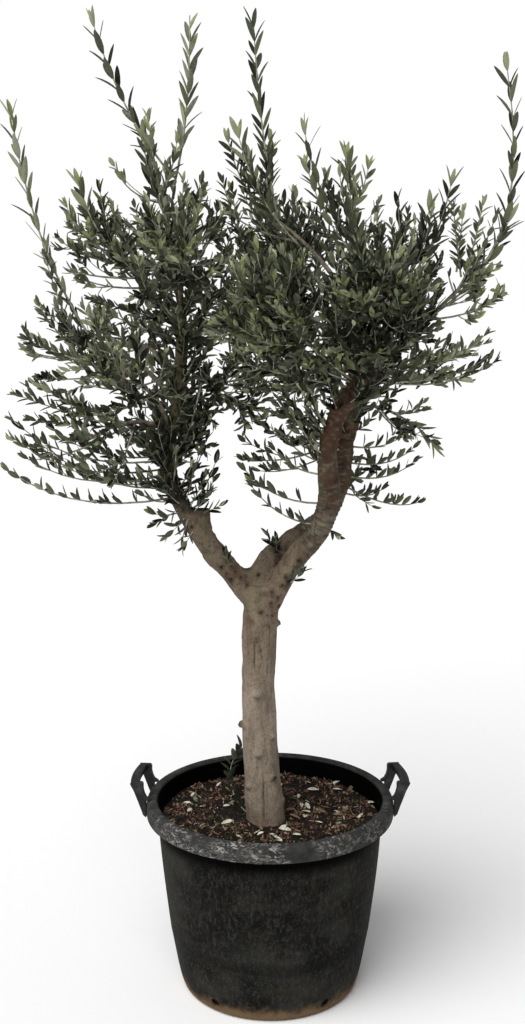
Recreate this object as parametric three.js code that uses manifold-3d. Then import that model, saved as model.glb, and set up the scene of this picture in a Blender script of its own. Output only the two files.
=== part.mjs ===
// A young olive tree in a black nursery tub with two moulded handles.
//
// Millimetres, +Z up, -Y is the front. The origin is the centre of the tub's flat underside.
// The trunk stands in the compost and forks into three boughs. Limbs leave the boughs, and each
// limb ends where it enters one mass of foliage. A mass is a stem that carries on from its limb,
// twigs that leave the stem by a seeded rule, and pairs of leaves fused to the twigs.
import * as THREE from "three";
import { mergeVertices } from "three/addons/utils/BufferGeometryUtils.js";
import Module from "manifold-3d";

const wasm = await Module();
wasm.setup();

// ---------------------------------------------------------------- driving dimensions

const CLEARANCE = 0.3; // between pieces that touch
const SPACE_MARGIN = 1.5; // from a mass's leaves to the next mass's space
const WOOD_MARGIN = 4; // from a mass's leaves and twigs to a limb's bark

const TUB = {
  height: 435,
  footRadius: 186,
  wall: 5,
  floor: 6,
  lipRadius: 275, // outside of the rolled lip
  lipDrop: 38, // how far the lip turns down outside the wall
  lipInner: 249, // mouth of the tub
  sides: 32,
};
// Outside of the wall, as radius and height, from the foot's corner up to the lip.
const WALL_OUTSIDE = [
  [197, 7],
  [206, 36],
  [225, 145],
  [240, 270],
  [250, TUB.height - TUB.lipDrop],
];
const DRAIN = { count: 5, radius: 11, height: 26, sides: 6, turn: 18 }; // turn in degrees

const HANDLE = {
  turn: { right: 6, left: 174.75 }, // degrees from the X axis, 15 flats of the lip apart
  halfSpan: 60, // from the middle of the handle to the outside of an arm
  arm: 10, // thickness of an arm
  foot: 9, // how far an arm's foot reaches over the lip
  gripInner: 289,
  gripOuter: 308,
  gripTop: 477,
  gripDepth: 14,
};

const COMPOST = { top: 398, gap: 0.7 }; // gap to the wall

const TRUNK = {
  sides: 12,
  steps: 9,
  // centre line, with the radius of the bark at each point
  line: [
    [-9, -42, COMPOST.top + CLEARANCE],
    [-16, -42, 470],
    [-23, -40, 600],
    [-25, -37, 740],
    [-21, -35, 850],
    [-15, -35, 925],
  ],
  radii: [50, 42.5, 38, 35.5, 39, 36],
};

// The boughs rise from inside the trunk's fork. Each is in two lengths, named here, because it
// bends: the first starts where the fork ends, and `bend` is the share at which the second starts.
// The radii are evenly spaced along the whole line.
const BOUGHS = [
  {
    names: ["bough_left", "leader_left"],
    line: [
      [-16, -32, 878],
      [-93, -31, 960],
      [-146, -34, 1030],
      [-186, -30, 1092],
      [-212, -24, 1150],
      [-214, -15, 1215],
      [-200, -5, 1279],
      [-190, 4, 1340],
      [-186, 10, 1420],
      [-187, 16, 1500],
      [-205, 20, 1605],
    ],
    radii: [31, 25, 23.5, 22, 17, 15, 15, 14, 11, 7],
    fork: 0.1,
    bend: 0.51,
  },
  {
    names: ["bough_right", "leader_right"],
    line: [
      [-8, -40, 885],
      [52, -54, 984],
      [104, -73, 1055],
      [121, -84, 1120],
      [116, -94, 1192],
      [120, -102, 1250],
      [137, -110, 1318],
      [176, -119, 1372],
      [196, -121, 1400],
    ],
    radii: [30, 24.5, 22.5, 24, 21.5, 20.5, 19.5, 13],
    fork: 0.11,
    bend: 0.6,
  },
  {
    names: ["bough_back", "leader_back"],
    line: [
      [-16, -26, 890],
      [-18, -20, 946],
      [18, 2, 986],
      [74, 27, 1026],
      [122, 54, 1062],
      [158, 80, 1132],
      [163, 92, 1195],
      [181, 110, 1262],
      [213, 126, 1325],
      [232, 134, 1370],
    ],
    radii: [31, 27, 23, 20, 18.5, 18.5, 17.5, 16.5, 11],
    fork: 0.19,
    bend: 0.58,
  },
];

// The masses of foliage: a name, the bough that the limb leaves, the share of that bough's length
// where it does, the limb's radius there, the centre and the half sizes of the mass, the number of
// twigs spread by rule, and the tips of the long shoots that stand out. At a share of 1 the mass
// has no limb of its own and its stem carries on from the bough's tip.
const massOf = (name, from, at, limb, heart, reach, twigs, ...shoots) => ({
  name, from, at, limb, heart, reach, twigs, shoots,
});
const MASSES = [
  massOf("left_skirt", "leader_left", 0.06, 8, [-385, -60, 1212], [145, 120, 92], 6,
    [-540, -45, 1190], [-430, -70, 1118]),
  massOf("left_low", "bough_left", 0.86, 7, [-215, 150, 1235], [110, 110, 80], 5),
  massOf("left_flank", "leader_left", 0.2, 8.5, [-390, -70, 1415], [130, 120, 105], 6,
    [-519, -70, 1900], [-530, -40, 1365]),
  massOf("left_front", "leader_left", 0.04, 8, [-290, -235, 1350], [110, 110, 105], 5),
  massOf("left_rear", "leader_left", 0.3, 8.5, [-350, 240, 1390], [125, 130, 125], 6),
  massOf("left_shoulder", "leader_left", 0.55, 7.5, [-350, -30, 1620], [110, 125, 110], 7,
    [-394, -40, 1792]),
  massOf("leader_crown", "leader_left", 1, 6, [-225, 0, 1730], [105, 120, 100], 5,
    [-366, -20, 2098], [-164, 17, 2124], [-262, -40, 1885]),
  massOf("leader_front", "leader_left", 0.68, 7, [-180, -210, 1590], [105, 115, 110], 5),
  massOf("leader_rear", "leader_left", 0.75, 7, [-215, 250, 1630], [120, 120, 125], 6),
  massOf("left_inner", "leader_left", 0.34, 7, [-95, -10, 1320], [105, 110, 110], 6),
  massOf("inner_rear", "leader_left", 0.5, 7, [-130, 160, 1480], [95, 110, 110], 6),
  massOf("centre_crown", "leader_right", 0.88, 9, [-30, -20, 1680], [95, 115, 125], 6,
    [-38, -10, 2120], [-72, -60, 1885]),
  massOf("centre_front", "leader_right", 0.72, 9, [0, -250, 1500], [120, 110, 110], 6),
  massOf("centre_rear", "leader_back", 0.76, 8.5, [30, 290, 1600], [125, 125, 125], 6),
  massOf("centre_low", "leader_back", 0.55, 8, [55, 110, 1395], [115, 110, 110], 7),
  massOf("right_crown", "leader_right", 1, 9, [132, -35, 1650], [90, 120, 125], 5,
    [62, -40, 1895], [150, -10, 1853]),
  massOf("right_front", "leader_right", 0.84, 8.5, [190, -270, 1510], [110, 110, 110], 6),
  massOf("right_rear", "leader_back", 0.84, 8.5, [250, 290, 1560], [120, 120, 125], 6),
  massOf("right_shoulder", "leader_back", 1, 8, [305, 10, 1600], [95, 125, 100], 6,
    [330, 0, 1750], [380, 30, 1800]),
  massOf("right_flank", "leader_back", 0.7, 7.5, [400, 10, 1530], [95, 115, 95], 5,
    [470, 0, 2010], [500, 0, 1720]),
  massOf("right_low", "leader_right", 0.6, 7, [310, -70, 1400], [120, 110, 55], 5, [470, -30, 1432]),
  massOf("inner_low", "bough_back", 0.9, 6.5, [20, 50, 1215], [85, 90, 90], 5, [-46, 50, 1205]),
  massOf("low_right", "leader_back", 0.1, 6.5, [250, 180, 1125], [90, 85, 60], 4, [353, 190, 1112]),
  massOf("droop_right", "leader_back", 0.6, 6, [275, 70, 1260], [65, 70, 60], 3, [366, 60, 1188]),
];

// A thin shoot from the foot of the trunk, with small leaves.
const SUCKER = {
  name: "base_shoot",
  line: [
    [-30, -38, 408],
    [-68, -28, 424],
    [-88, -8, 470],
    [-84, 8, 512],
    [-62, 20, 546],
  ],
  steps: 5,
  pairs: 5,
};

const SPRAY_LEAF = { length: 114, width: 41, thickness: 3.6, angle: 42, neck: 14 };
const SHOOT_LEAF = { length: 84, width: 19, thickness: 2.4, angle: 27, neck: 14 };
const SUCKER_LEAF = { length: 36, width: 11, thickness: 1.4, angle: 48, neck: 6 };
// `widest` is where along a leaf its full width is, `last` the size of the leaf at a twig's tip,
// `sunk` and `lift` how far a leaf's root is sunk into its twig and the last one lifted off its
// middle, and `apart` the least distance between the ribs of two leaves.
const LEAF = { widest: 0.45, last: 0.9, sunk: 0.6, lift: 0.25, apart: 19, smaller: 0.8 };
// `sag` is a share of the twig's length, `pairs` the distance between pairs of leaves on it, and
// `deep` how far inside its mass a twig's tip starts out.
const TWIG = { base: 3.0, tip: 2.2, steps: 2, sag: 0.16, shortest: 55, pairs: 62, deep: 25 };
// A shoot keeps `room` round it, at points `spaced` apart. It has gone `lean` of its way sideways
// when it has climbed `rise` of its way up.
const SHOOT = { room: 78, spaced: 80, lean: 0.8, rise: 0.38, pairs: 74 };
// A stem ends past the heart of its mass by `overshoot` of the reach.
const STEM = { tip: 3.4, sides: 4, steps: 3, overshoot: 0.25 };
const BOUGH = { sides: 8, steps: 5, forkSteps: 2 };
// A limb leaves its bough partly along it, by `onward`, and bends at `bend` of its way. It ends
// `deep` inside its mass, and between the shares `earliest` and `latest` of the line to the heart.
const LIMB = {
  sides: 5, steps: 3, taper: 0.72, earliest: 0.3, latest: 0.75, onward: 0.8, bend: 0.5, deep: 20,
};
const TIMBER_SAMPLES = 40; // along each piece of wood, to measure distances from
const SMALLEST_EDGE = 0.05; // shorter edges are merged away

const COLOURS = {
  tub: { color: 0x1d1e1f, roughness: 0.6, metalness: 0 },
  compost: { color: 0x3a2a20, roughness: 0.95, metalness: 0 },
  bark: { color: 0x867869, roughness: 0.9, metalness: 0 },
  foliage: { color: 0x4d5742, roughness: 0.7, metalness: 0 },
};

// ---------------------------------------------------------------- solids

const vec = (p) => new THREE.Vector3(p[0], p[1], p[2]);
const UP = new THREE.Vector3(0, 0, 1);
const GOLDEN_ANGLE = Math.PI * (3 - Math.sqrt(5));

// A number from 0 to 1 that depends only on the seed.
const chance = (seed) => {
  const s = Math.sin(seed * 12.9898 + 78.233) * 43758.5453;
  return s - Math.floor(s);
};

const mix = (a, b, t) => a + (b - a) * t;

// Turns a closed three.js geometry into a solid, facing outwards.
function solidOf(geometry) {
  const bare = geometry.index ? geometry.toNonIndexed() : geometry.clone();
  bare.deleteAttribute("normal");
  bare.deleteAttribute("uv");
  const merged = mergeVertices(bare, 1e-4);
  const triVerts = new Uint32Array(merged.index.array);
  const vertProperties = new Float32Array(merged.attributes.position.array);
  const solid = new wasm.Manifold(new wasm.Mesh({ numProp: 3, vertProperties, triVerts }));
  if (solid.volume() >= 0) return solid;
  for (let i = 0; i < triVerts.length; i += 3) {
    [triVerts[i + 1], triVerts[i + 2]] = [triVerts[i + 2], triVerts[i + 1]];
  }
  return new wasm.Manifold(new wasm.Mesh({ numProp: 3, vertProperties, triVerts }));
}

function meshOf(name, solid, look) {
  const { numProp, vertProperties, triVerts } = solid.getMesh();
  const places = new Float32Array((vertProperties.length / numProp) * 3);
  for (let i = 0; i < places.length / 3; i++) {
    places.set(vertProperties.subarray(i * numProp, i * numProp + 3), i * 3);
  }
  const geometry = new THREE.BufferGeometry();
  geometry.setAttribute("position", new THREE.BufferAttribute(places, 3));
  geometry.setIndex(new THREE.BufferAttribute(triVerts, 1));
  geometry.computeVertexNormals();
  const mesh = new THREE.Mesh(geometry, new THREE.MeshStandardMaterial(COLOURS[look]));
  mesh.name = name;
  return mesh;
}

const biggest = (solid) =>
  solid.decompose().reduce((a, b) => (b.volume() > a.volume() ? b : a));

// A closed bar along a curve: a cylinder whose rings are carried to the curve's frames, each
// scaled to the radius there. A pointed bar ends in a cone.
function bar(curve, radiusAt, sides, steps, pointed = false) {
  const geometry = new THREE.CylinderGeometry(pointed ? 0 : 1, 1, 1, sides, steps);
  const frames = curve.computeFrenetFrames(steps, false);
  const places = geometry.attributes.position;
  for (let i = 0; i < places.count; i++) {
    const ring = Math.round((places.getY(i) + 0.5) * steps);
    const size = Math.hypot(places.getX(i), places.getZ(i));
    const onAxis = size < 1e-6 || (pointed && ring === steps);
    const radius = onAxis ? 0 : radiusAt(ring / steps) / size;
    const point = curve
      .getPointAt(ring / steps)
      .addScaledVector(frames.normals[ring], places.getX(i) * radius)
      .addScaledVector(frames.binormals[ring], places.getZ(i) * radius);
    places.setXYZ(i, point.x, point.y, point.z);
  }
  return solidOf(geometry);
}

// Where a bar's rings lie along a curve, and which way its three faces look.
function jointed(curve, steps) {
  const frames = curve.computeFrenetFrames(steps, false);
  const centres = curve.getSpacedPoints(steps);
  const part = (t) => Math.min(Math.floor(t * steps), steps - 1);
  return {
    length: curve.getLength(),
    at: (t) => centres[part(t)].clone().lerp(centres[part(t) + 1], t * steps - part(t)),
    along: (t) => centres[part(t) + 1].clone().sub(centres[part(t)]).normalize(),
    facing: (t, face) => {
      const turn = ((2 * face + 1) * Math.PI) / 3;
      return frames.normals[part(t)]
        .clone()
        .add(frames.normals[part(t) + 1])
        .multiplyScalar(Math.sin(turn))
        .addScaledVector(frames.binormals[part(t)], Math.cos(turn))
        .addScaledVector(frames.binormals[part(t) + 1], Math.cos(turn))
        .normalize();
    },
  };
}

// A radius that runs through the listed values, evenly spaced along the length.
const through = (radii) => (t) => {
  const place = t * (radii.length - 1);
  const i = Math.min(Math.floor(place), radii.length - 2);
  return mix(radii[i], radii[i + 1], place - i);
};

// The stretch of a curve from one share of its length to another, with the curve's own tangents.
class Stretch extends THREE.Curve {
  constructor(whole, from, to) {
    super();
    this.at = (t) => mix(from, to, t);
    this.whole = whole;
  }
  getPoint(t) {
    return this.whole.getPointAt(this.at(t));
  }
  getTangent(t) {
    return this.whole.getTangentAt(this.at(t));
  }
}

// ---------------------------------------------------------------- tub, handles and compost

// A round solid on the tub's axis, from radii and heights. A flat of it faces each handle.
function turned(profile) {
  const outline = profile.map(([r, z]) => new THREE.Vector2(r, z));
  const flatAhead = THREE.MathUtils.degToRad(HANDLE.turn.right) + Math.PI / TUB.sides;
  return solidOf(
    new THREE.LatheGeometry(outline, TUB.sides).rotateX(Math.PI / 2).rotateZ(flatAhead),
  );
}

function tub() {
  const { height, wall, floor, footRadius, lipRadius, lipDrop, lipInner } = TUB;
  const lipFoot = height - lipDrop;
  const lip = [
    [lipRadius - wall, lipFoot + 2],
    [lipRadius - 1, lipFoot],
    [lipRadius, lipFoot + 8],
    [lipRadius - 1, height - 9],
    [lipRadius - 8, height - 1],
    [lipInner + 8, height],
    [lipInner, height - 6],
  ];
  const underLip = [
    [WALL_OUTSIDE.at(-1)[0] + 2, height - 2 * wall],
    [lipRadius - wall - 2, height - 2 * wall],
  ];
  const inside = WALL_OUTSIDE.slice(1)
    .reverse()
    .map(([r, z]) => [r - wall, z]);
  const profile = [
    [0, 0],
    [footRadius, 0],
    ...WALL_OUTSIDE,
    ...underLip,
    ...lip,
    ...inside,
    [footRadius, floor],
    [0, floor],
  ];
  return drainHoles().reduce((solid, hole) => solid.subtract(hole), turned(profile));
}

// Drain holes are bored level through the foot of the wall.
function drainHoles() {
  const holes = [];
  for (let i = 0; i < DRAIN.count; i++) {
    const length = 4 * DRAIN.radius;
    const hole = new THREE.CylinderGeometry(DRAIN.radius, DRAIN.radius, length, DRAIN.sides)
      .rotateZ(Math.PI / 2)
      .translate(WALL_OUTSIDE[1][0], 0, DRAIN.height)
      .rotateZ(THREE.MathUtils.degToRad(DRAIN.turn + (i * 360) / DRAIN.count));
    holes.push(solidOf(hole));
  }
  return holes;
}

// A bail handle: two upright arms joined by a curved grip. The inner corners of the arms meet the
// flats of the lip.
function handle(side) {
  const { halfSpan, arm, foot, gripInner, gripOuter, gripTop, gripDepth } = HANDLE;
  const lipFlat = TUB.lipRadius * Math.cos(Math.PI / TUB.sides);
  const root = Math.sqrt(lipFlat ** 2 - (halfSpan - arm) ** 2) + CLEARANCE;
  const reach = Math.sqrt(gripOuter ** 2 - (halfSpan - arm / 2) ** 2) + 1;
  const lipTop = TUB.height;
  const armSide = new THREE.Shape(
    [
      [root, lipTop - 39],
      [root, lipTop + CLEARANCE],
      [root - foot, lipTop + CLEARANCE],
      [root - foot, lipTop + 3],
      [root - 1, lipTop + 8],
      [root + 3, lipTop + 16],
      [root + 5.5, lipTop + 26],
      [root + 5.5, gripTop - 4],
      [root + 8, gripTop],
      [reach - 2, gripTop],
      [reach, gripTop - 4],
      [reach - 9, lipTop + 20],
      [reach - 16, lipTop + 1],
      [reach - 23, lipTop - 18],
      [reach - 28, lipTop - 33],
    ].map(([r, z]) => new THREE.Vector2(r, z)),
  );
  const arms = [-1, 1].map((end) => {
    const plate = new THREE.ExtrudeGeometry(armSide, { depth: arm, bevelEnabled: false })
      .rotateX(Math.PI / 2)
      .translate(0, end * (halfSpan - arm / 2) + arm / 2, 0);
    return solidOf(plate);
  });
  const halfAngle = Math.asin((halfSpan - arm / 2) / gripOuter);
  const arc = new THREE.Shape();
  arc.absarc(0, 0, gripOuter, -halfAngle, halfAngle, false);
  arc.absarc(0, 0, gripInner, halfAngle, -halfAngle, true);
  const grip = solidOf(
    new THREE.ExtrudeGeometry(arc, {
      depth: gripDepth - 4,
      bevelThickness: 2,
      bevelSize: 2,
      bevelOffset: -2,
      bevelSegments: 1,
      curveSegments: 4,
    }).translate(0, 0, gripTop - gripDepth + 2),
  );
  return grip
    .add(arms[0])
    .add(arms[1])
    .rotate([0, 0, HANDLE.turn[side]]);
}

// The compost fills the tub from its floor to the flat top that the trunk stands on.
function compost() {
  const gap = TUB.wall + COMPOST.gap;
  const levels = WALL_OUTSIDE.slice(1, -1).map(([r, z]) => [r - gap, z]);
  const [topRadius, lowRadius] = [WALL_OUTSIDE.at(-1)[0], WALL_OUTSIDE.at(-2)[0]];
  const rise = (COMPOST.top - WALL_OUTSIDE.at(-2)[1]) / (WALL_OUTSIDE.at(-1)[1] - WALL_OUTSIDE.at(-2)[1]);
  const profile = [
    [0, TUB.floor + CLEARANCE],
    [TUB.footRadius - 2, TUB.floor + CLEARANCE],
    ...levels,
    [mix(lowRadius, topRadius, Math.min(rise, 1)) - gap, COMPOST.top],
    [0, COMPOST.top],
  ];
  return turned(profile);
}

// ---------------------------------------------------------------- trunk, boughs and limbs

const wood = {}; // by name: curve, radiusAt, sides, steps, solid

function addWood(name, curve, radiusAt, { sides, steps }) {
  const solid = bar(curve, radiusAt, sides, steps);
  wood[name] = { curve, radiusAt, sides, steps, solid };
  return wood[name];
}

function growTrunkAndBoughs() {
  const line = new THREE.CatmullRomCurve3(TRUNK.line.map(vec));
  const trunk = addWood("trunk", line, through(TRUNK.radii), TRUNK);
  for (const { names, line, radii, fork, bend } of BOUGHS) {
    const whole = new THREE.CatmullRomCurve3(line.map(vec));
    const radius = through(radii);
    const gap = CLEARANCE / whole.getLength();
    const inFork = new Stretch(whole, 0, fork);
    const stub = bar(inFork, (t) => radius(t * fork), BOUGH.sides, BOUGH.forkSteps);
    trunk.solid = trunk.solid.add(stub);
    const lengths = [
      [fork + gap, bend],
      [bend + gap, 1],
    ];
    names.forEach((name, i) => {
      const [from, to] = lengths[i];
      addWood(name, new Stretch(whole, from, to), (t) => radius(mix(from, to, t)), BOUGH);
    });
  }
  const ground = new THREE.BoxGeometry(400, 400, 100).translate(0, 0, COMPOST.top + CLEARANCE - 50);
  const cutters = [solidOf(ground), ...BOUGHS.map(({ names }) => thicker(names[0]))];
  trunk.solid = biggest(trunk.solid.subtract(wasm.Manifold.union(cutters)));
}

// The same limb, thicker by the clearance, to cut another with.
function thicker(name) {
  const { curve, radiusAt, sides, steps } = wood[name];
  const facets = Math.cos(Math.PI / sides);
  return bar(curve, (t) => radiusAt(t) + CLEARANCE / facets, sides, steps);
}

// ---------------------------------------------------------------- masses of foliage

// Each mass holds the space round its sites: its heart, and points along its long shoots. A point
// belongs to the site that it lies deepest in, and planes part it from the sites of other masses.
function findSites() {
  for (const mass of MASSES) {
    const size = Math.cbrt(mass.reach[0] * mass.reach[1] * mass.reach[2]);
    mass.sites = [{ at: vec(mass.heart), room: size ** 2 }];
    for (const tip of mass.shoots) {
      const line = shootLine(vec(mass.heart), vec(tip));
      const count = Math.ceil(line.getLength() / SHOOT.spaced);
      for (let i = 1; i <= count; i++) {
        mass.sites.push({ at: line.getPointAt(i / count), room: SHOOT.room ** 2 });
      }
    }
  }
}

const depth = (site, point) => point.distanceToSquared(site.at) - site.room;

// How far a point lies inside the space of a mass, which is below 0 outside it.
function inside(mass, point) {
  const own = mass.sites.reduce((a, b) => (depth(b, point) < depth(a, point) ? b : a));
  let least = Infinity;
  for (const other of MASSES) {
    if (other === mass) continue;
    for (const site of other.sites) {
      const planes = (depth(site, point) - depth(own, point)) / (2 * own.at.distanceTo(site.at));
      least = Math.min(least, planes);
    }
  }
  return least;
}

// The least distance from a point to the bark of the trunk, the boughs and the limbs.
function toWood(point) {
  let least = Infinity;
  for (const { samples } of Object.values(wood)) {
    for (const { at, radius } of samples) least = Math.min(least, point.distanceTo(at) - radius);
  }
  return least;
}

function sample(limb) {
  limb.samples = [];
  for (let i = 0; i <= TIMBER_SAMPLES; i++) {
    const t = i / TIMBER_SAMPLES;
    limb.samples.push({ at: limb.curve.getPointAt(t), radius: limb.radiusAt(t) });
  }
}

// The line of a limb and of the stem that carries on from it: out of the bough, then to the heart.
function limbLine(mass) {
  const { curve } = wood[mass.from];
  const start = curve.getPointAt(mass.at);
  const end = vec(mass.heart).addScaledVector(UP, STEM.overshoot * mass.reach[2]);
  const run = end.clone().sub(start);
  const length = run.length();
  const onward = curve.getTangentAt(mass.at);
  const aside = run.clone().normalize().addScaledVector(onward, LIMB.onward).normalize();
  const way = mass.at === 1 ? onward : aside;
  const bend = start.clone().addScaledVector(way, LIMB.bend * length);
  return new THREE.QuadraticBezierCurve3(start, bend, end);
}

// The share of that line at which it enters the mass, and the limb ends.
function entry(mass, line) {
  for (let t = LIMB.earliest; t < LIMB.latest; t += 0.01) {
    if (inside(mass, line.getPointAt(t)) > LIMB.deep) return t;
  }
  return LIMB.latest;
}

// A limb grows out of its bough and is cut clear of all the wood that it passes.
function growLimb(mass) {
  const line = limbLine(mass);
  if (mass.at === 1) return { line, end: 0, tip: wood[mass.from].radiusAt(1) };
  const end = entry(mass, line);
  const tip = mass.limb * LIMB.taper;
  const others = Object.keys(wood);
  const radiusAt = (t) => mix(mass.limb, tip, t);
  const limb = addWood("limb_" + mass.name, new Stretch(line, 0, end), radiusAt, LIMB);
  limb.solid = clearOf(others, limb.solid);
  sample(limb);
  return { line, end, tip };
}

function clearOf(names, solid) {
  const close = names.filter((name) => near(solid, wood[name].solid));
  return close.reduce((rest, name) => biggest(rest.subtract(thicker(name))), solid);
}

function near(a, b) {
  const [p, q] = [a.boundingBox(), b.boundingBox()];
  return [0, 1, 2].every((k) => p.min[k] < q.max[k] + 2 && q.min[k] < p.max[k] + 2);
}

// A leaf along `way`, its upper side towards `face`: a tetrahedron with one edge drawn out as the
// keel from the leaf's base to its tip, and the other as its width.
function leaf(kind, base, way, face, scale) {
  const { length, width, thickness } = kind;
  const geometry = new THREE.TetrahedronGeometry(1);
  const across = new THREE.Vector3().crossVectors(way, face).normalize();
  const normal = new THREE.Vector3().crossVectors(across, way).normalize();
  const onRib = (t) => base.clone().addScaledVector(way, t * length * scale);
  const places = geometry.attributes.position;
  for (let i = 0; i < places.count; i++) {
    const [x, z] = [Math.sign(places.getX(i)), Math.sign(places.getZ(i))];
    const point =
      z > 0
        ? onRib(x > 0 ? 1 : 0)
        : onRib(LEAF.widest)
            .addScaledVector(across, (x * width * scale) / 2)
            .addScaledVector(normal, -thickness * scale);
    places.setXYZ(i, point.x, point.y, point.z);
  }
  const rib = [0.4, 0.7, 1].map(onRib);
  const tips = corners(geometry).filter((p) => p.distanceTo(base) > 1);
  return { geometry, rib, points: [...tips, ...rib] };
}

function corners(geometry) {
  const places = geometry.attributes.position;
  const points = [];
  for (let i = 0; i < places.count; i++) points.push(new THREE.Vector3().fromBufferAttribute(places, i));
  return points;
}

const fits = (mass, points) =>
  points.every((p) => inside(mass, p) > SPACE_MARGIN && toWood(p) > WOOD_MARGIN);

// The tips of the twigs of a mass, spread evenly over it, upper ones leaving the stem later.
function twigTips(mass) {
  const tips = [];
  for (let k = 0; k < mass.twigs; k++) {
    const up = 0.1 + 0.86 * (1 - (2 * k + 1) / mass.twigs);
    const round = k * GOLDEN_ANGLE + 2 * mass.seed;
    const level = Math.sqrt(1 - up * up);
    const share = mix(0.85, 1, chance(mass.seed + k));
    const tip = new THREE.Vector3(
      mass.heart[0] + mass.reach[0] * share * level * Math.cos(round),
      mass.heart[1] + mass.reach[1] * share * level * Math.sin(round),
      mass.heart[2] + mass.reach[2] * share * up,
    );
    tips.push({ tip, leaves: mix(0.15, 0.9, (up + 0.8) / 1.8) });
  }
  return tips;
}

// A twig sags a little on its way and turns up at its tip.
function twigLine(start, tip) {
  const bend = start.clone().lerp(tip, 0.5);
  bend.z -= TWIG.sag * start.distanceTo(tip);
  return new THREE.QuadraticBezierCurve3(start, bend, tip);
}

// A long shoot leaves sideways and then climbs, and its last leaf ends at the given tip.
function shootLine(start, tip) {
  const bend = new THREE.Vector3(
    mix(start.x, tip.x, SHOOT.lean),
    mix(start.y, tip.y, SHOOT.lean),
    mix(start.z, tip.z, SHOOT.rise),
  );
  const lastLeaf = tip.clone().sub(bend).setLength(LEAF.last * SHOOT_LEAF.length);
  return new THREE.QuadraticBezierCurve3(start, bend, tip.clone().sub(lastLeaf));
}

// Pairs of leaves along a twig, each pair turned a third from the last, and one at the tip. A leaf
// that would leave the mass, or touch wood or an earlier leaf, is tried smaller and then skipped.
function leavesOn(mass, axis, kind, pairs, seed) {
  const grown = [];
  const add = (base, way, face, scale) => {
    for (const size of [scale, LEAF.smaller * scale]) {
      const made = leaf(kind, base, way, face, size);
      const crowded = mass.ribs.some((q) => made.rib.some((p) => p.distanceTo(q) < LEAF.apart));
      if (crowded || !fits(mass, made.points)) continue;
      mass.ribs.push(...made.rib);
      grown.push(solidOf(made.geometry));
      return;
    }
  };
  const slant = THREE.MathUtils.degToRad(kind.angle);
  for (let i = 0; i < pairs; i++) {
    const t = 1 - (i + 0.8) / (pairs + 0.45);
    const along = axis.along(t);
    for (const side of [0, 1]) {
      const out = axis.facing(t, (i + side + mass.seed) % 3);
      const way = along
        .clone()
        .multiplyScalar(Math.cos(slant))
        .addScaledVector(out, Math.sin(slant))
        .normalize();
      const base = axis.at(t).addScaledVector(way, -LEAF.sunk);
      add(base, way, along, mix(0.9, 1.1, chance(seed + 7 * i + side)));
    }
  }
  const last = axis.along(1);
  const face = new THREE.Vector3().crossVectors(last, new THREE.Vector3(1, 0.3, 0)).normalize();
  const neck = axis.at(1 - kind.neck / axis.length).addScaledVector(face, LEAF.lift);
  add(neck, last, face, LEAF.last);
  return grown;
}

function growTwig(mass, line, kind, spacing, seed) {
  const clear = [0.3, 0.45, 0.6, 0.8, 1].map((t) => line.getPointAt(t));
  if (!fits(mass, clear) || line.getLength() < TWIG.shortest) return [];
  const pairs = Math.max(1, Math.round(line.getLength() / spacing));
  const twig = bar(line, (t) => mix(TWIG.base, TWIG.tip, t), 3, TWIG.steps, true);
  return [twig, ...leavesOn(mass, jointed(line, TWIG.steps), kind, pairs, seed)];
}

function growMass(mass, { line, end, tip }) {
  const gap = CLEARANCE / line.getLength();
  const stemLine = new Stretch(line, end + gap, 1);
  const stem = bar(stemLine, (t) => mix(tip * 0.96, STEM.tip, t), STEM.sides, STEM.steps);
  const passed = Object.keys(wood).filter((name) => name !== mass.from && name !== "limb_" + mass.name);
  const pieces = [clearOf(passed, stem)];
  mass.ribs = [];
  mass.shoots.forEach((place, k) => {
    const shoot = shootLine(stemLine.getPointAt(0.75 - 0.2 * k), vec(place));
    pieces.push(...growTwig(mass, shoot, SHOOT_LEAF, SHOOT.pairs, mass.seed + 100 + 10 * k));
  });
  twigTips(mass).forEach(({ tip: aim, leaves }, k) => {
    const start = stemLine.getPointAt(leaves);
    for (let tries = 0; tries < 6 && inside(mass, aim) < TWIG.deep; tries++) aim.lerp(start, 0.1);
    const line = twigLine(start, aim);
    pieces.push(...growTwig(mass, line, SPRAY_LEAF, TWIG.pairs, mass.seed + 10 * k));
  });
  return wasm.Manifold.union(pieces).simplify(SMALLEST_EDGE);
}

// The sucker is one three-sided shoot that starts clear of the trunk's bark.
function growSucker() {
  const sites = [{ at: vec(SUCKER.line[2]), room: 0 }];
  const sucker = { ...SUCKER, seed: MASSES.length + 1, ribs: [], sites };
  const line = new THREE.CatmullRomCurve3(SUCKER.line.map(vec));
  const shoot = bar(line, () => TWIG.tip, 3, SUCKER.steps, true).subtract(thicker("trunk"));
  const leaves = leavesOn(sucker, jointed(line, SUCKER.steps), SUCKER_LEAF, SUCKER.pairs, sucker.seed);
  return biggest(wasm.Manifold.union([biggest(shoot), ...leaves]));
}

// ---------------------------------------------------------------- the whole plant

const plant = new THREE.Group();
plant.add(meshOf("tub", tub(), "tub"));
plant.add(meshOf("handle_left", handle("left"), "tub"));
plant.add(meshOf("handle_right", handle("right"), "tub"));
plant.add(meshOf("compost", compost(), "compost"));

growTrunkAndBoughs();
Object.values(wood).forEach(sample);
MASSES.forEach((mass, i) => (mass.seed = i + 1));
findSites();
const stems = MASSES.map((mass) => growLimb(mass));
for (const [name, { solid }] of Object.entries(wood)) plant.add(meshOf(name, solid, "bark"));
MASSES.forEach((mass, i) => {
  plant.add(meshOf("foliage_" + mass.name, biggest(growMass(mass, stems[i])), "foliage"));
});
plant.add(meshOf("foliage_" + SUCKER.name, growSucker(), "foliage"));

export default plant;
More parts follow.
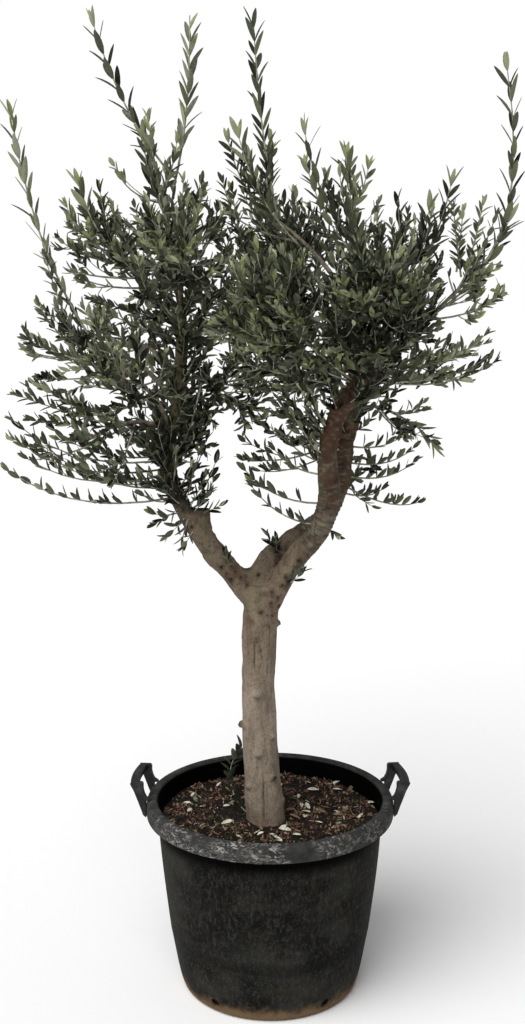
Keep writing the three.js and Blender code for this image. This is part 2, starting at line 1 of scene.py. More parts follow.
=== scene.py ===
"""Looks of a young olive tree that grows in a round black nursery tub with two bail handles.

Tables and sizes are in millimetres, as the part is drawn, and each mesh is scaled to metres when it
is made. +Z is up and -Y is the front. The crown is grown again by the part's own rule: limbs leave
the boughs, a stem carries on from each limb into its mass, and twigs leave the stem a golden angle
apart. Here the rule goes on to side twigs and to pairs of leaves at their real size.
"""
import math
from collections import namedtuple
from itertools import combinations

import bpy
import numpy as np
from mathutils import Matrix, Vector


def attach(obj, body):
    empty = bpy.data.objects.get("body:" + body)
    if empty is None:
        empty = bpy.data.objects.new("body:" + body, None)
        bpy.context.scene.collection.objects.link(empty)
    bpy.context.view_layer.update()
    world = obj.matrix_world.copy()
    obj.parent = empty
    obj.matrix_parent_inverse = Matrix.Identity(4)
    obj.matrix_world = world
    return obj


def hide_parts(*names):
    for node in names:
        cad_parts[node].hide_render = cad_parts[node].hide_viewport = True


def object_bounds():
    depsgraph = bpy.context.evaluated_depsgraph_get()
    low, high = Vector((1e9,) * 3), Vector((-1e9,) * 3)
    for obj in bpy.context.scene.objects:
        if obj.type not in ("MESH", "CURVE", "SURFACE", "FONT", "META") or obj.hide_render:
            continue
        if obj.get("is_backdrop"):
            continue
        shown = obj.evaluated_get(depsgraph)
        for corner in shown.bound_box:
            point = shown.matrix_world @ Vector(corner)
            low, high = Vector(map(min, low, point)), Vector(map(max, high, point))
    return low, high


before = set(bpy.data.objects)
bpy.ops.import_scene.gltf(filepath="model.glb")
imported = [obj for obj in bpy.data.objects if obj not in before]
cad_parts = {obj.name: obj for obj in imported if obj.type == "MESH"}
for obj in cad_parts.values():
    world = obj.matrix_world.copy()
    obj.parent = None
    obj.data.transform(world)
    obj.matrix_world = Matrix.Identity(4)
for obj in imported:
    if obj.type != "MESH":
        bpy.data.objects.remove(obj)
CAD_LOW, CAD_HIGH = (np.array(corner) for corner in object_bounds())

MM = 0.001
UP = np.array([0.0, 0.0, 1.0])
GOLDEN_ANGLE = math.pi * (3 - math.sqrt(5))

CAMERA = {"at": (-0.0168, -2.8, 1.584), "down": 10.31, "lens": 46.76, "sensor": 36.0}
LIGHT = {"around": 0.37, "key": 3.0, "key_angle": 52, "key_turn": (34, -16, -14)}

# ---------------------------------------------------------------- the tree's table, in millimetres

TRUNK = {
    "line": [(-9, -42, 388), (-16, -42, 470), (-23, -40, 600), (-25, -37, 740), (-21, -35, 850),
             (-15, -35, 925)],
    "radii": [44.5, 38.5, 37, 35.5, 38.5, 36],
}
# Each bough leaves the trunk at the share `fork` of its line, and bends into a leader at `bend`.
BOUGHS = {
    "left": {
        "line": [(-16, -32, 878), (-93, -31, 960), (-146, -34, 1030), (-186, -30, 1092),
                 (-212, -24, 1150), (-214, -15, 1215), (-200, -5, 1279), (-190, 4, 1340),
                 (-186, 10, 1420), (-187, 16, 1500), (-205, 20, 1605)],
        "radii": [31, 25, 23.5, 22, 17, 15, 15, 14, 11, 7], "fork": 0.1, "bend": 0.51,
    },
    "right": {
        "line": [(-8, -40, 885), (52, -54, 984), (104, -73, 1055), (121, -84, 1120),
                 (116, -94, 1192), (122, -102, 1250), (146, -110, 1316), (186, -119, 1366),
                 (208, -121, 1394)],
        "radii": [30, 24.5, 22.5, 24, 21.5, 20.5, 19.5, 13], "fork": 0.1, "bend": 0.6,
    },
    "back": {
        "line": [(-16, -26, 890), (-18, -20, 946), (18, 2, 986), (74, 27, 1026), (122, 54, 1062),
                 (158, 80, 1132), (163, 92, 1195), (181, 110, 1262), (213, 126, 1325),
                 (232, 134, 1370)],
        "radii": [31, 27, 23, 20, 18.5, 18.5, 17.5, 16.5, 11], "fork": 0.18, "bend": 0.58,
    },
}
# A mass: the bough its limb leaves, the share of that bough's length, the limb's radius, the heart
# and the half sizes of the mass, its twigs by rule, how full it is and how steeply its twigs climb,
# both from 0 to 1, and the tips of its long shoots.
Mass = namedtuple("Mass", "bough share radius heart reach twigs full rise tips", defaults=[()])
MASSES = {
    "left_skirt": Mass("leader_left", 0.06, 8, (-385, -60, 1212), (145, 120, 92), 6, 0.34, 0.1,
                       [(-540, -45, 1190), (-430, -70, 1118)]),
    "left_low": Mass("bough_left", 0.86, 7, (-215, 150, 1235), (110, 110, 80), 5, 0.62, 0.3),
    "left_flank": Mass("leader_left", 0.2, 8.5, (-390, -70, 1415), (130, 120, 105), 6, 0.60, 0.5,
                       [(-519, -70, 1926), (-530, -40, 1365)]),
    "left_front": Mass("leader_left", 0.04, 8, (-290, -235, 1350), (110, 110, 105), 5, 0.64, 0.6),
    "left_rear": Mass("leader_left", 0.3, 8.5, (-350, 240, 1390), (125, 130, 125), 6, 0.64, 0.6),
    "left_shoulder": Mass("leader_left", 0.55, 7.5, (-350, -30, 1620), (110, 125, 110), 7, 0.60,
                          0.9, [(-394, -40, 1792)]),
    "leader_crown": Mass("leader_left", 1, 6, (-225, 0, 1730), (105, 120, 100), 5, 0.28, 1.0,
                         [(-366, -20, 2108), (-164, 17, 2140), (-262, -40, 1885)]),
    "leader_front": Mass("leader_left", 0.68, 7, (-180, -210, 1590), (105, 115, 110), 5, 0.80, 0.8),
    "leader_rear": Mass("leader_left", 0.75, 7, (-215, 250, 1630), (120, 120, 125), 6, 0.72, 0.9),
    "left_inner": Mass("leader_left", 0.34, 7, (-95, -10, 1320), (105, 110, 110), 6, 0.74, 0.5),
    "inner_rear": Mass("leader_left", 0.5, 7, (-130, 160, 1480), (95, 110, 110), 6, 0.80, 0.6),
    "centre_crown": Mass("leader_right", 0.88, 9, (-30, -20, 1680), (95, 115, 125), 6, 0.42, 1.0,
                         [(-38, -10, 2138), (-72, -60, 1885)]),
    "centre_front": Mass("leader_right", 0.72, 9, (0, -250, 1500), (120, 110, 110), 6, 0.96, 0.82),
    "centre_rear": Mass("leader_back", 0.76, 8.5, (30, 290, 1600), (125, 125, 125), 6, 0.88, 0.9),
    "centre_low": Mass("leader_back", 0.55, 8, (55, 110, 1395), (115, 110, 110), 7, 0.86, 0.5),
    "right_crown": Mass("leader_right", 1, 9, (132, -35, 1650), (90, 120, 125), 5, 0.48, 1.0,
                        [(62, -40, 1895), (150, -10, 1853)]),
    "right_front": Mass("leader_right", 0.84, 8.5, (190, -270, 1510), (110, 110, 110), 6, 0.96,
                        0.76),
    "right_rear": Mass("leader_back", 0.84, 8.5, (250, 290, 1560), (120, 120, 125), 6, 0.90, 0.7),
    "right_shoulder": Mass("leader_back", 1, 8, (305, 10, 1600), (95, 125, 100), 6, 0.30, 0.9,
                           [(330, 0, 1750), (380, 30, 1800)]),
    "right_flank": Mass("leader_back", 0.7, 7.5, (400, 10, 1530), (95, 115, 95), 5, 0.72, 0.6,
                        [(466, 0, 2036), (500, 0, 1720)]),
    "right_low": Mass("leader_right", 0.6, 7, (310, -70, 1400), (120, 110, 55), 5, 0.70, 0.15,
                      [(470, -30, 1432)]),
    "inner_low": Mass("bough_back", 0.9, 6.5, (20, 50, 1215), (85, 90, 90), 5, 0.50, 0.15,
                      [(-46, 50, 1205)]),
    "low_right": Mass("leader_back", 0.1, 6.5, (250, 180, 1125), (90, 85, 60), 4, 0.40, 0.05,
                      [(353, 190, 1112)]),
    "droop_right": Mass("leader_back", 0.6, 6, (275, 70, 1260), (65, 70, 60), 3, 0.66, 0.1,
                        [(366, 60, 1188)]),
}
# Sprays with a place of their own, from their foot to their tip.
SPRAYS = {
    "left_skirt": [((-240, -40, 1190), (-530, -60, 1275)), ((-230, -50, 1150), (-470, -90, 1232)),
                   ((-225, -36, 1135), (-390, -110, 1200)), ((-226, -20, 1170), (-532, -30, 1232)),
                   ((-215, -26, 1160), (-500, -80, 1200)), ((-205, -40, 1120), (-268, -50, 1158)),
                   ((-218, -20, 1200), (-455, -10, 1250)), ((-205, -35, 1112), (-544, -60, 1172)),
                   ((-214, -20, 1150), (-420, 20, 1160))],
    "left_flank": [((-215, -20, 1235), (-520, -60, 1330)), ((-205, 0, 1290), (-480, -20, 1440)),
                   ((-212, -10, 1250), (-500, -30, 1275)), ((-400, -70, 1450), (-452, -80, 1604)),
                   ((-410, -60, 1430), (-472, -50, 1510)), ((-380, -80, 1400), (-490, -90, 1444)),
                   ((-300, -40, 1270), (-482, -60, 1352)), ((-290, -30, 1260), (-440, -20, 1322))],
    "left_low": [((-175, -30, 1095), (-116, -46, 1186)), ((-165, -30, 1088), (-122, -24, 1142)),
                 ((-192, -32, 1110), (-150, -62, 1204)), ((-172, -46, 1075), (-184, -62, 1034)),
                 ((-198, -30, 1120), (-136, -10, 1230)), ((-176, -34, 1088), (-238, -66, 1082)),
                 ((-195, -34, 1108), (-262, -70, 1120)), ((-200, -30, 1130), (-244, -56, 1156)),
                 ((-204, -34, 1128), (-166, -60, 1180)), ((-206, -34, 1140), (-196, -70, 1206))],
    "left_inner": [((-187, 15, 1490), (-150, -90, 1560)), ((-190, 14, 1460), (-232, -80, 1530)),
                   ((-186, 12, 1430), (-188, -100, 1500)), ((-195, 17, 1540), (-200, -90, 1604)),
                   ((-190, 4, 1345), (-150, -80, 1420)), ((-192, 0, 1320), (-226, -80, 1400))],
    "left_shoulder": [((-192, 14, 1440), (-330, -60, 1496)), ((-188, 16, 1475), (-366, -20, 1524)),
                      ((-186, 10, 1420), (-300, 60, 1500))],
    "centre_low": [((124, -104, 1262), (14, -70, 1292)), ((160, 90, 1190), (40, 120, 1270)),
                   ((122, -100, 1235), (30, -110, 1330)), ((124, -100, 1255), (62, -130, 1345)),
                   ((120, -98, 1225), (50, -110, 1262)), ((126, -104, 1275), (20, -120, 1312)),
                   ((122, -98, 1240), (78, -130, 1300))],
    "right_front": [((180, -125, 1370), (70, -320, 1560)), ((184, -125, 1374), (130, -350, 1560)),
                    ((188, -125, 1376), (255, -340, 1560)), ((190, -125, 1378), (295, -300, 1500))],
    "centre_front": [((166, -122, 1360), (-60, -320, 1480)), ((160, -120, 1352), (-80, -300, 1420)),
                     ((170, -122, 1362), (0, -340, 1520))],
    "centre_crown": [((-40, 20, 1590), (-98, 30, 1760)), ((-60, 0, 1580), (-124, -10, 1700)),
                     ((-50, 10, 1600), (-78, -30, 1738)), ((-60, 0, 1560), (-112, 20, 1655)),
                     ((-202, 15, 1600), (-140, -20, 1742)), ((-200, 15, 1600), (-126, 20, 1690))],
    "right_flank": [((400, 0, 1560), (432, -20, 1712)), ((410, 0, 1570), (462, 0, 1690)),
                    ((385, 0, 1580), (398, 20, 1700)), ((395, 0, 1570), (372, -30, 1704))],
    "inner_low": [((118, -98, 1225), (48, -120, 1290)), ((120, -100, 1245), (36, -90, 1326)),
                  ((118, -96, 1210), (64, -130, 1268)), ((122, -102, 1262), (84, -140, 1336)),
                  ((116, -94, 1195), (30, -70, 1246)), ((100, -84, 1108), (-52, -20, 1166)),
                  ((98, -80, 1062), (-37, -20, 1130)), ((150, 80, 1200), (-20, 90, 1150)),
                  ((112, -94, 1170), (10, -60, 1215))],
    "low_right": [((166, 88, 1170), (324, 190, 1187)), ((164, 86, 1140), (324, 185, 1155)),
                  ((160, 82, 1120), (337, 190, 1062)), ((156, 78, 1105), (250, 150, 1098)),
                  ((170, 95, 1205), (300, 160, 1222))],
    "right_low": [((176, -110, 1372), (455, -60, 1395)), ((190, -112, 1385), (430, -90, 1452))],
}
SUCKER_NODE = "foliage_base_shoot"
SUCKER = [(-38, -38, 398), (-68, -28, 424), (-88, -8, 470), (-84, 8, 508), (-66, 18, 532)]

# The limbs: their radius at even steps, as shares of the radius in the table, how far they carry on
# along their bough, where they bend, how far they pass the heart, and where the stem's marks are.
LIMB = {"taper": (0.8, 0.62, 0.45, 0.33), "onward": 0.8, "bend": 0.5, "overshoot": 0.25,
        "stem": (0.35, 0.68, 1)}
# Long shoots with a course of their own, by their tip: the foot and the bend.
SHOOT_BENDS = {(466, 0, 2036): ((425, 5, 1575), (542, 0, 1700)),
               (-366, -20, 2108): ((-196, 0, 1770), (-304, -10, 1880)),
               (-164, 17, 2140): ((-198, 4, 1755), (-158, 6, 1900))}
# Long shoots: the room they keep in the crown and the spacing of its places, how far out and up
# they bend, and how many half sizes above or below the heart a tip is for a shoot to grow.
SHOOT = {"room": 78, "spaced": 80, "lean": 0.8, "rise": 0.38, "beyond": 1.05}
SAG = {"twig": 0.16, "spray": 0.2}  # as shares of the length

# ---------------------------------------------------------------- sums on arrays of points

BLOCK = 8000  # points compared with the wood at once


def unit(vectors):
    """The vectors at length 1."""
    return vectors / np.maximum(np.linalg.norm(vectors, axis=-1, keepdims=True), 1e-9)


def chance(seed):
    """A number from 0 to 1 that depends only on the seed."""
    return (math.sin(seed * 12.9898 + 78.233) * 43758.5453) % 1


def noise(points, size, seed=0):
    """Smooth values from -1 to 1: random numbers on a lattice `size` apart, eased between."""
    place = points / np.asarray(size, float) + 31.7 * seed + 500
    cell = np.floor(place)
    ease = (place - cell) ** 2 * (3 - 2 * (place - cell))
    total = np.zeros(points.shape[:-1])
    for corner in np.ndindex(2, 2, 2):
        share = np.where(corner, ease, 1 - ease).prod(-1)
        dots = (cell + corner) @ np.array([127.1, 311.7, 74.7])
        total += share * (2 * ((np.sin(dots) * 43758.5453) % 1) - 1)
    return total


def ramp(values, low, high):
    """0 where a value is at `low` or past it, 1 at `high` or past it, and straight between."""
    return np.clip((values - low) / (high - low), 0, 1)


def bell(gap, width=1.0):
    """1 where the gap is 0, falling away on both sides: e to the minus square of gap over width."""
    return np.exp(-((gap / width) ** 2))


def gaps_to(place, points):
    """How far each point lies from a place."""
    return np.linalg.norm(points - np.array(place, float), axis=1)


def in_blocks(points, answer):
    """What `answer` says of all the points, asked of BLOCK of them at once."""
    firsts = range(0, len(points), BLOCK)
    return np.concatenate([answer(points[first:first + BLOCK]) for first in firsts])


def evenly(points, count):
    """`count` points evenly spaced along a line of points."""
    steps = np.linalg.norm(np.diff(points, axis=0), axis=1)
    run = np.concatenate([[0], np.cumsum(steps)])
    places = np.linspace(0, run[-1], count)
    return np.stack([np.interp(places, run, column) for column in points.T], axis=1)


def smooth_line(marks, count):
    """The centripetal Catmull-Rom curve through the marks, as `count` evenly spaced points.

    Each stretch lies between the middle two of four marks, whose knots are apart by the square
    root of the gaps. Three rounds of straight blends between neighbours give its points.
    """
    marks = np.array(marks, float)
    marks = np.vstack([2 * marks[0] - marks[1], marks, 2 * marks[-1] - marks[-2]])
    stretches = []
    for four in zip(marks, marks[1:], marks[2:], marks[3:]):
        knots = np.cumsum([0] + [np.linalg.norm(q - p) ** 0.5 for p, q in zip(four, four[1:])])
        at = np.linspace(knots[1], knots[2], 30, endpoint=False)[:, None]
        level = list(four)
        for reach in (1, 2):
            level = [(low * (knots[i + reach] - at) + high * (at - knots[i]))
                     / (knots[i + reach] - knots[i])
                     for i, (low, high) in enumerate(zip(level, level[1:]))]
        first, last = level
        stretches.append((first * (knots[2] - at) + last * (at - knots[1])) / (knots[2] - knots[1]))
    return evenly(np.vstack(stretches + [marks[-2:-1]]), count)


def bezier(ends, shares):
    """Points of quadratic curves: `ends` holds start, bend and end, and shares run from 0 to 1."""
    start, bend, end = (ends[..., None, k, :] for k in range(3))
    t = np.asarray(shares, float)[..., None]
    return (1 - t) ** 2 * start + 2 * t * (1 - t) * bend + t**2 * end


def along_line(points):
    """The direction of a line at each of its points."""
    return unit(np.gradient(points, axis=0))


class Limb:
    """A line of evenly spaced points with a radius at each. Places are shares of its length."""

    def __init__(self, points, radii):
        self.points = points
        self.radii = np.interp(np.linspace(0, 1, len(points)), np.linspace(0, 1, len(radii)), radii)
        self.length = np.linalg.norm(np.diff(points, axis=0), axis=1).sum()

    def at(self, share):
        """The point at a place."""
        place = share * (len(self.points) - 1)
        marks = np.arange(len(self.points))
        return np.array([np.interp(place, marks, column) for column in self.points.T])

    def along(self, share):
        """The direction at a place."""
        return unit(self.at(min(share + 0.02, 1)) - self.at(max(share - 0.02, 0)))

    def radius(self, share):
        return float(np.interp(share, np.linspace(0, 1, len(self.radii)), self.radii))

    def part(self, start, end, count=40):
        """The stretch between two places, as a limb."""
        shares = np.linspace(start, end, count)
        points = np.array([self.at(share) for share in shares])
        return Limb(points, [self.radius(share) for share in shares])


# ---------------------------------------------------------------- meshes


def grid_faces(rows, columns, closed):
    """Four-sided faces of a grid of points, row by row, joined round its columns if closed."""
    i = np.arange(rows - 1)[:, None]
    j = np.arange(columns if closed else columns - 1)[None]
    k = (j + 1) % columns
    corners = [i * columns + j, i * columns + k, (i + 1) * columns + k, (i + 1) * columns + j]
    return np.stack(corners, -1).reshape(-1, 4)


def copies(faces, count, points_each):
    """The same faces for each of `count` equal sets of points."""
    return (faces[None] + points_each * np.arange(count)[:, None, None]).reshape(-1, faces.shape[1])


def new_mesh(name, points, faces, smooth=True):
    """A mesh from points in millimetres and arrays of faces with equal numbers of corners."""
    mesh = bpy.data.meshes.new(name)
    mesh.vertices.add(len(points))
    mesh.vertices.foreach_set("co", (np.asarray(points) * MM).astype(np.float32).ravel())
    corners = np.concatenate([np.asarray(f).ravel() for f in faces]).astype(np.int32)
    sizes = np.concatenate([np.full(len(f), np.asarray(f).shape[1]) for f in faces])
    starts = np.concatenate([[0], np.cumsum(sizes)[:-1]]).astype(np.int32)
    mesh.loops.add(len(corners))
    mesh.loops.foreach_set("vertex_index", corners)
    mesh.polygons.add(len(sizes))
    mesh.polygons.foreach_set("loop_start", starts)
    mesh.polygons.foreach_set("use_smooth", np.full(len(sizes), smooth))
    mesh.update(calc_edges=True)
    return mesh


def add_object(name, data):
    """An object in the scene for a mesh, a light or a camera."""
    made = bpy.data.objects.new(name, data)
    bpy.context.scene.collection.objects.link(made)
    return made


def modified(made):
    """The object's mesh with its modifiers applied."""
    depsgraph = bpy.context.evaluated_depsgraph_get()
    return bpy.data.meshes.new_from_object(made.evaluated_get(depsgraph))


def nodes_named(*starts):
    """The frame's nodes whose names start in one of the given ways."""
    return [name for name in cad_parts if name.startswith(starts)]


def piece(name, shape, look, nodes=(), smooth=True):
    """An object of the tree with its finish, which stands for the given nodes.

    Its shape is a mesh, or points and arrays of faces.
    """
    mesh = shape if isinstance(shape, bpy.types.Mesh) else new_mesh(name, *shape, smooth=smooth)
    made = add_object(name, mesh)
    mesh.materials.clear()
    mesh.materials.append(look)
    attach(made, "root")
    if nodes:
        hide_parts(*nodes)
    return made


def paint(mesh, name, values):
    """Stores a number for each point of a mesh, which a finish can read."""
    layer = mesh.attributes.new(name, "FLOAT", "POINT")
    layer.data.foreach_set("value", np.asarray(values, np.float32))


def tubes(lines, radii, sides):
    """Closed round tubes: rings of points about the points of each line, and a face at each end."""
    count, rings = lines.shape[:2]
    along = unit(np.gradient(lines, axis=1))
    reference = np.eye(3)[np.abs(along.mean(axis=1)).argmin(axis=1)]
    aside = unit(np.cross(along, reference[:, None]))
    across = np.cross(along, aside)
    turn = 2 * math.pi * np.arange(sides) / sides
    circle = aside[:, :, None] * np.cos(turn)[:, None] + across[:, :, None] * np.sin(turn)[:, None]
    points = lines[:, :, None] + circle * radii[:, :, None, None]
    ring = np.arange(sides)
    each = rings * sides
    walls = copies(grid_faces(rings, sides, True), count, each)
    ends = copies(np.stack([ring[::-1], ring + each - sides]), count, each)
    return points.reshape(-1, 3), [walls, ends]


def lathe(profile, segments):
    """A closed round body: the profile, from axis to axis, turned about Z."""
    profile = np.asarray(profile, float)
    turn = 2 * math.pi * np.arange(segments) / segments
    rings = profile[1:-1]
    points = np.stack([rings[:, :1] * np.cos(turn), rings[:, :1] * np.sin(turn),
                       np.repeat(rings[:, 1:], segments, axis=1)], axis=-1).reshape(-1, 3)
    poles = [(0, 0, profile[0, 1]), (0, 0, profile[-1, 1])]
    ring, last = np.arange(segments), (len(rings) - 1) * segments
    onward = np.roll(ring, -1)
    foot = np.stack([np.full(segments, len(points)), onward, ring], axis=1)
    head = np.stack([np.full(segments, len(points) + 1), ring + last, onward + last], axis=1)
    walls = grid_faces(len(rings), segments, True)
    return np.vstack([points, poles]), [walls, np.vstack([foot, head])]


def merged(shapes):
    """Several shapes, each points and its arrays of faces, as one."""
    firsts = np.cumsum([0] + [len(points) for points, _ in shapes])
    kinds = zip(*(faces for _, faces in shapes))
    faces = [np.vstack([f + first for f, first in zip(kind, firsts)]) for kind in kinds]
    return np.vstack([points for points, _ in shapes]), faces


def rounded(profile, times):
    """The profile with its corners cut, twice as many points each time. Its ends stay."""
    profile = np.asarray(profile, float)
    for _ in range(times):
        low, high = profile[:-1], profile[1:]
        cut = np.stack([0.75 * low + 0.25 * high, 0.25 * low + 0.75 * high], axis=1).reshape(-1, 2)
        profile = np.vstack([profile[:1], cut, profile[-1:]])
    return profile


# ---------------------------------------------------------------- finishes


class Finish:
    """A Principled finish, and short calls that add nodes which feed it."""

    def __init__(self, name, colour, roughness, **sockets):
        self.look = bpy.data.materials.new(name)
        self.look.use_nodes = True
        self.tree = self.look.node_tree
        self.shader = self.tree.nodes["Principled BSDF"]
        self.shader.inputs["Base Color"].default_value = (*colour, 1)
        self.shader.inputs["Roughness"].default_value = roughness
        for socket, value in sockets.items():
            self.shader.inputs[socket.replace("_", " ")].default_value = value
        self.place = self.colour = None

    def node(self, kind, **settings):
        """A new node with its settings."""
        made = self.tree.nodes.new("ShaderNode" + kind)
        for key, value in settings.items():
            setattr(made, key, value)
        return made

    def feed(self, socket, value):
        """Links an output to an input, or sets the input to a plain value."""
        if isinstance(value, bpy.types.NodeSocket):
            self.tree.links.new(value, socket)
        elif isinstance(value, tuple):
            socket.default_value = (*value, 1) if len(socket.default_value) == 4 else value
        else:
            socket.default_value = value

    def where(self, stretch=(1, 1, 1)):
        """The place on the piece, in metres, stretched along its axes."""
        if self.place is None:
            self.place = self.node("TexCoord").outputs["Object"]
        mapping = self.node("Mapping")
        mapping.inputs["Scale"].default_value = stretch
        self.feed(mapping.inputs["Vector"], self.place)
        return mapping.outputs["Vector"]

    def noise(self, scale, detail=4, stretch=(1, 1, 1), roughness=0.55, twist=0.0):
        """Cloudy values about a half, `scale` of them to the metre."""
        made = self.node("TexNoise")
        self.feed(made.inputs["Vector"], self.where(stretch))
        settings = {"Scale": scale, "Detail": detail, "Roughness": roughness, "Distortion": twist}
        for key, value in settings.items():
            made.inputs[key].default_value = value
        return made.outputs["Fac"]

    def cells(self, scale, stretch=(1, 1, 1)):
        """How far a point is from the nearest of many scattered ones."""
        made = self.node("TexVoronoi", feature="F1")
        self.feed(made.inputs["Vector"], self.where(stretch))
        made.inputs["Scale"].default_value = scale
        return made.outputs["Distance"]

    def painted(self, name):
        """What `paint` stored on the mesh."""
        return self.node("Attribute", attribute_name=name).outputs["Fac"]

    def height(self):
        """How high a point stands above the ground, in metres."""
        made = self.node("SeparateXYZ")
        self.feed(made.inputs["Vector"], self.where())
        return made.outputs["Z"]

    def between(self, value, low, high):
        """0 where the value is at `low` or less, and 1 where it is at `high` or more."""
        made = self.node("MapRange", interpolation_type="SMOOTHSTEP")
        for key, number in zip(("Value", "From Min", "From Max"), (value, low, high)):
            self.feed(made.inputs[key], number)
        return made.outputs["Result"]

    def arithmetic(self, operation, first, second):
        """One sum on two values, each an output or a number."""
        made = self.node("Math", operation=operation)
        self.feed(made.inputs[0], first)
        self.feed(made.inputs[1], second)
        return made.outputs["Value"]

    def plus(self, first, second):
        return self.arithmetic("ADD", first, second)

    def times(self, first, second):
        return self.arithmetic("MULTIPLY", first, second)

    def mix(self, share, first, second, blend="MIX"):
        """The first colour where the share is 0 and the second, blended in, where it is 1."""
        made = self.node("Mix", data_type="RGBA", blend_type=blend)
        self.feed(made.inputs["Factor"], share)
        self.feed(made.inputs[6], first)
        self.feed(made.inputs[7], second)
        return made.outputs[2]

    def lay(self, share, colour, strength=1.0, blend="MIX"):
        """Lays a colour over those so far, as thickly as the share times the strength."""
        share = share if strength == 1.0 else self.times(share, strength)
        self.colour = self.mix(share, self.colour, colour, blend)
        self.set("Base Color", self.colour)

    def two_tones(self, share, dark, light):
        """The ground of the finish, between a dark and a light colour."""
        self.colour = self.mix(share, dark, light)
        self.set("Base Color", self.colour)

    def set(self, socket, value):
        """Feeds a socket of the shader."""
        self.feed(self.shader.inputs[socket], value)

    def bump(self, height, depth, strength=1.0):
        """Relief of the given depth, in metres, that the mesh is too coarse to hold."""
        made = self.node("Bump")
        made.inputs["Distance"].default_value = depth
        made.inputs["Strength"].default_value = strength
        self.feed(made.inputs["Height"], height)
        self.set("Normal", made.outputs["Normal"])


# What is painted on the bark, and how each tint is laid over it. The brown and dark tints carry
# painted shade as well as the bark's own colour.
TINTS = {"brown": ("MULTIPLY", (0.21, 0.172, 0.116)), "red": ("MIX", (0.078, 0.034, 0.018)),
         "green": ("MIX", (0.100, 0.105, 0.056)), "dark": ("MIX", (0.020, 0.015, 0.011)),
         "pale": ("MIX", (0.42, 0.37, 0.31))}


def bark_finish():
    """Smooth grey-brown bark: pale flakes, dark pores and fine cracks along the grain, with painted
    crown shade above the fork.
    """
    made = Finish("olive_bark", (0.24, 0.19, 0.145), 0.85, Specular_IOR_Level=0.25)
    height = made.height()
    upper = made.between(height, 0.62, 0.88)
    patches = made.between(made.noise(14, 5, (1, 1, 0.55)), 0.36, 0.66)
    made.two_tones(patches, (0.180, 0.140, 0.104), (0.325, 0.262, 0.200))
    grain = made.between(made.noise(240, 5, (1, 1, 0.8), 0.7), 0.60, 0.34)
    made.lay(grain, (0.60, 0.58, 0.56), blend="MULTIPLY")
    streaks = made.between(made.noise(95, 4, (1, 1, 0.16), 0.6, 0.4), 0.42, 0.62)
    made.lay(streaks, (0.355, 0.300, 0.243), 0.3)
    pores = made.between(made.cells(420, (1, 1, 0.6)), 0.30, 0.10)
    made.lay(pores, (0.085, 0.062, 0.045), 0.5)
    cracks = made.between(made.noise(60, 6, (1, 1, 0.09), 0.7, 0.8), 0.39, 0.30)
    made.lay(cracks, (0.062, 0.045, 0.033), 0.42)
    # painted shade of the crown: the bark darkens and browns from the fork upwards
    made.lay(upper, (0.66, 0.62, 0.56), blend="MULTIPLY")
    mottle = made.between(made.noise(38, 6, (1, 1, 0.8), 0.7), 0.52, 0.64)
    made.lay(made.times(mottle, upper), (0.060, 0.043, 0.031), 0.7)
    # more painted crown shade on the upper boughs
    made.lay(made.between(height, 1.02, 1.24), (0.80, 0.76, 0.66), blend="MULTIPLY")
    eyes = made.between(made.cells(52, (1, 1, 0.8)), 0.17, 0.08)
    made.lay(made.times(eyes, made.plus(made.times(upper, 0.5), 0.15)), (0.034, 0.017, 0.011))
    for tint, (blend, colour) in TINTS.items():
        made.lay(made.painted(tint), colour, blend=blend)
    made.bump(made.plus(made.noise(330, 5, (1, 1, 0.35)), made.times(cracks, -0.9)), 0.0022)
    return made.look


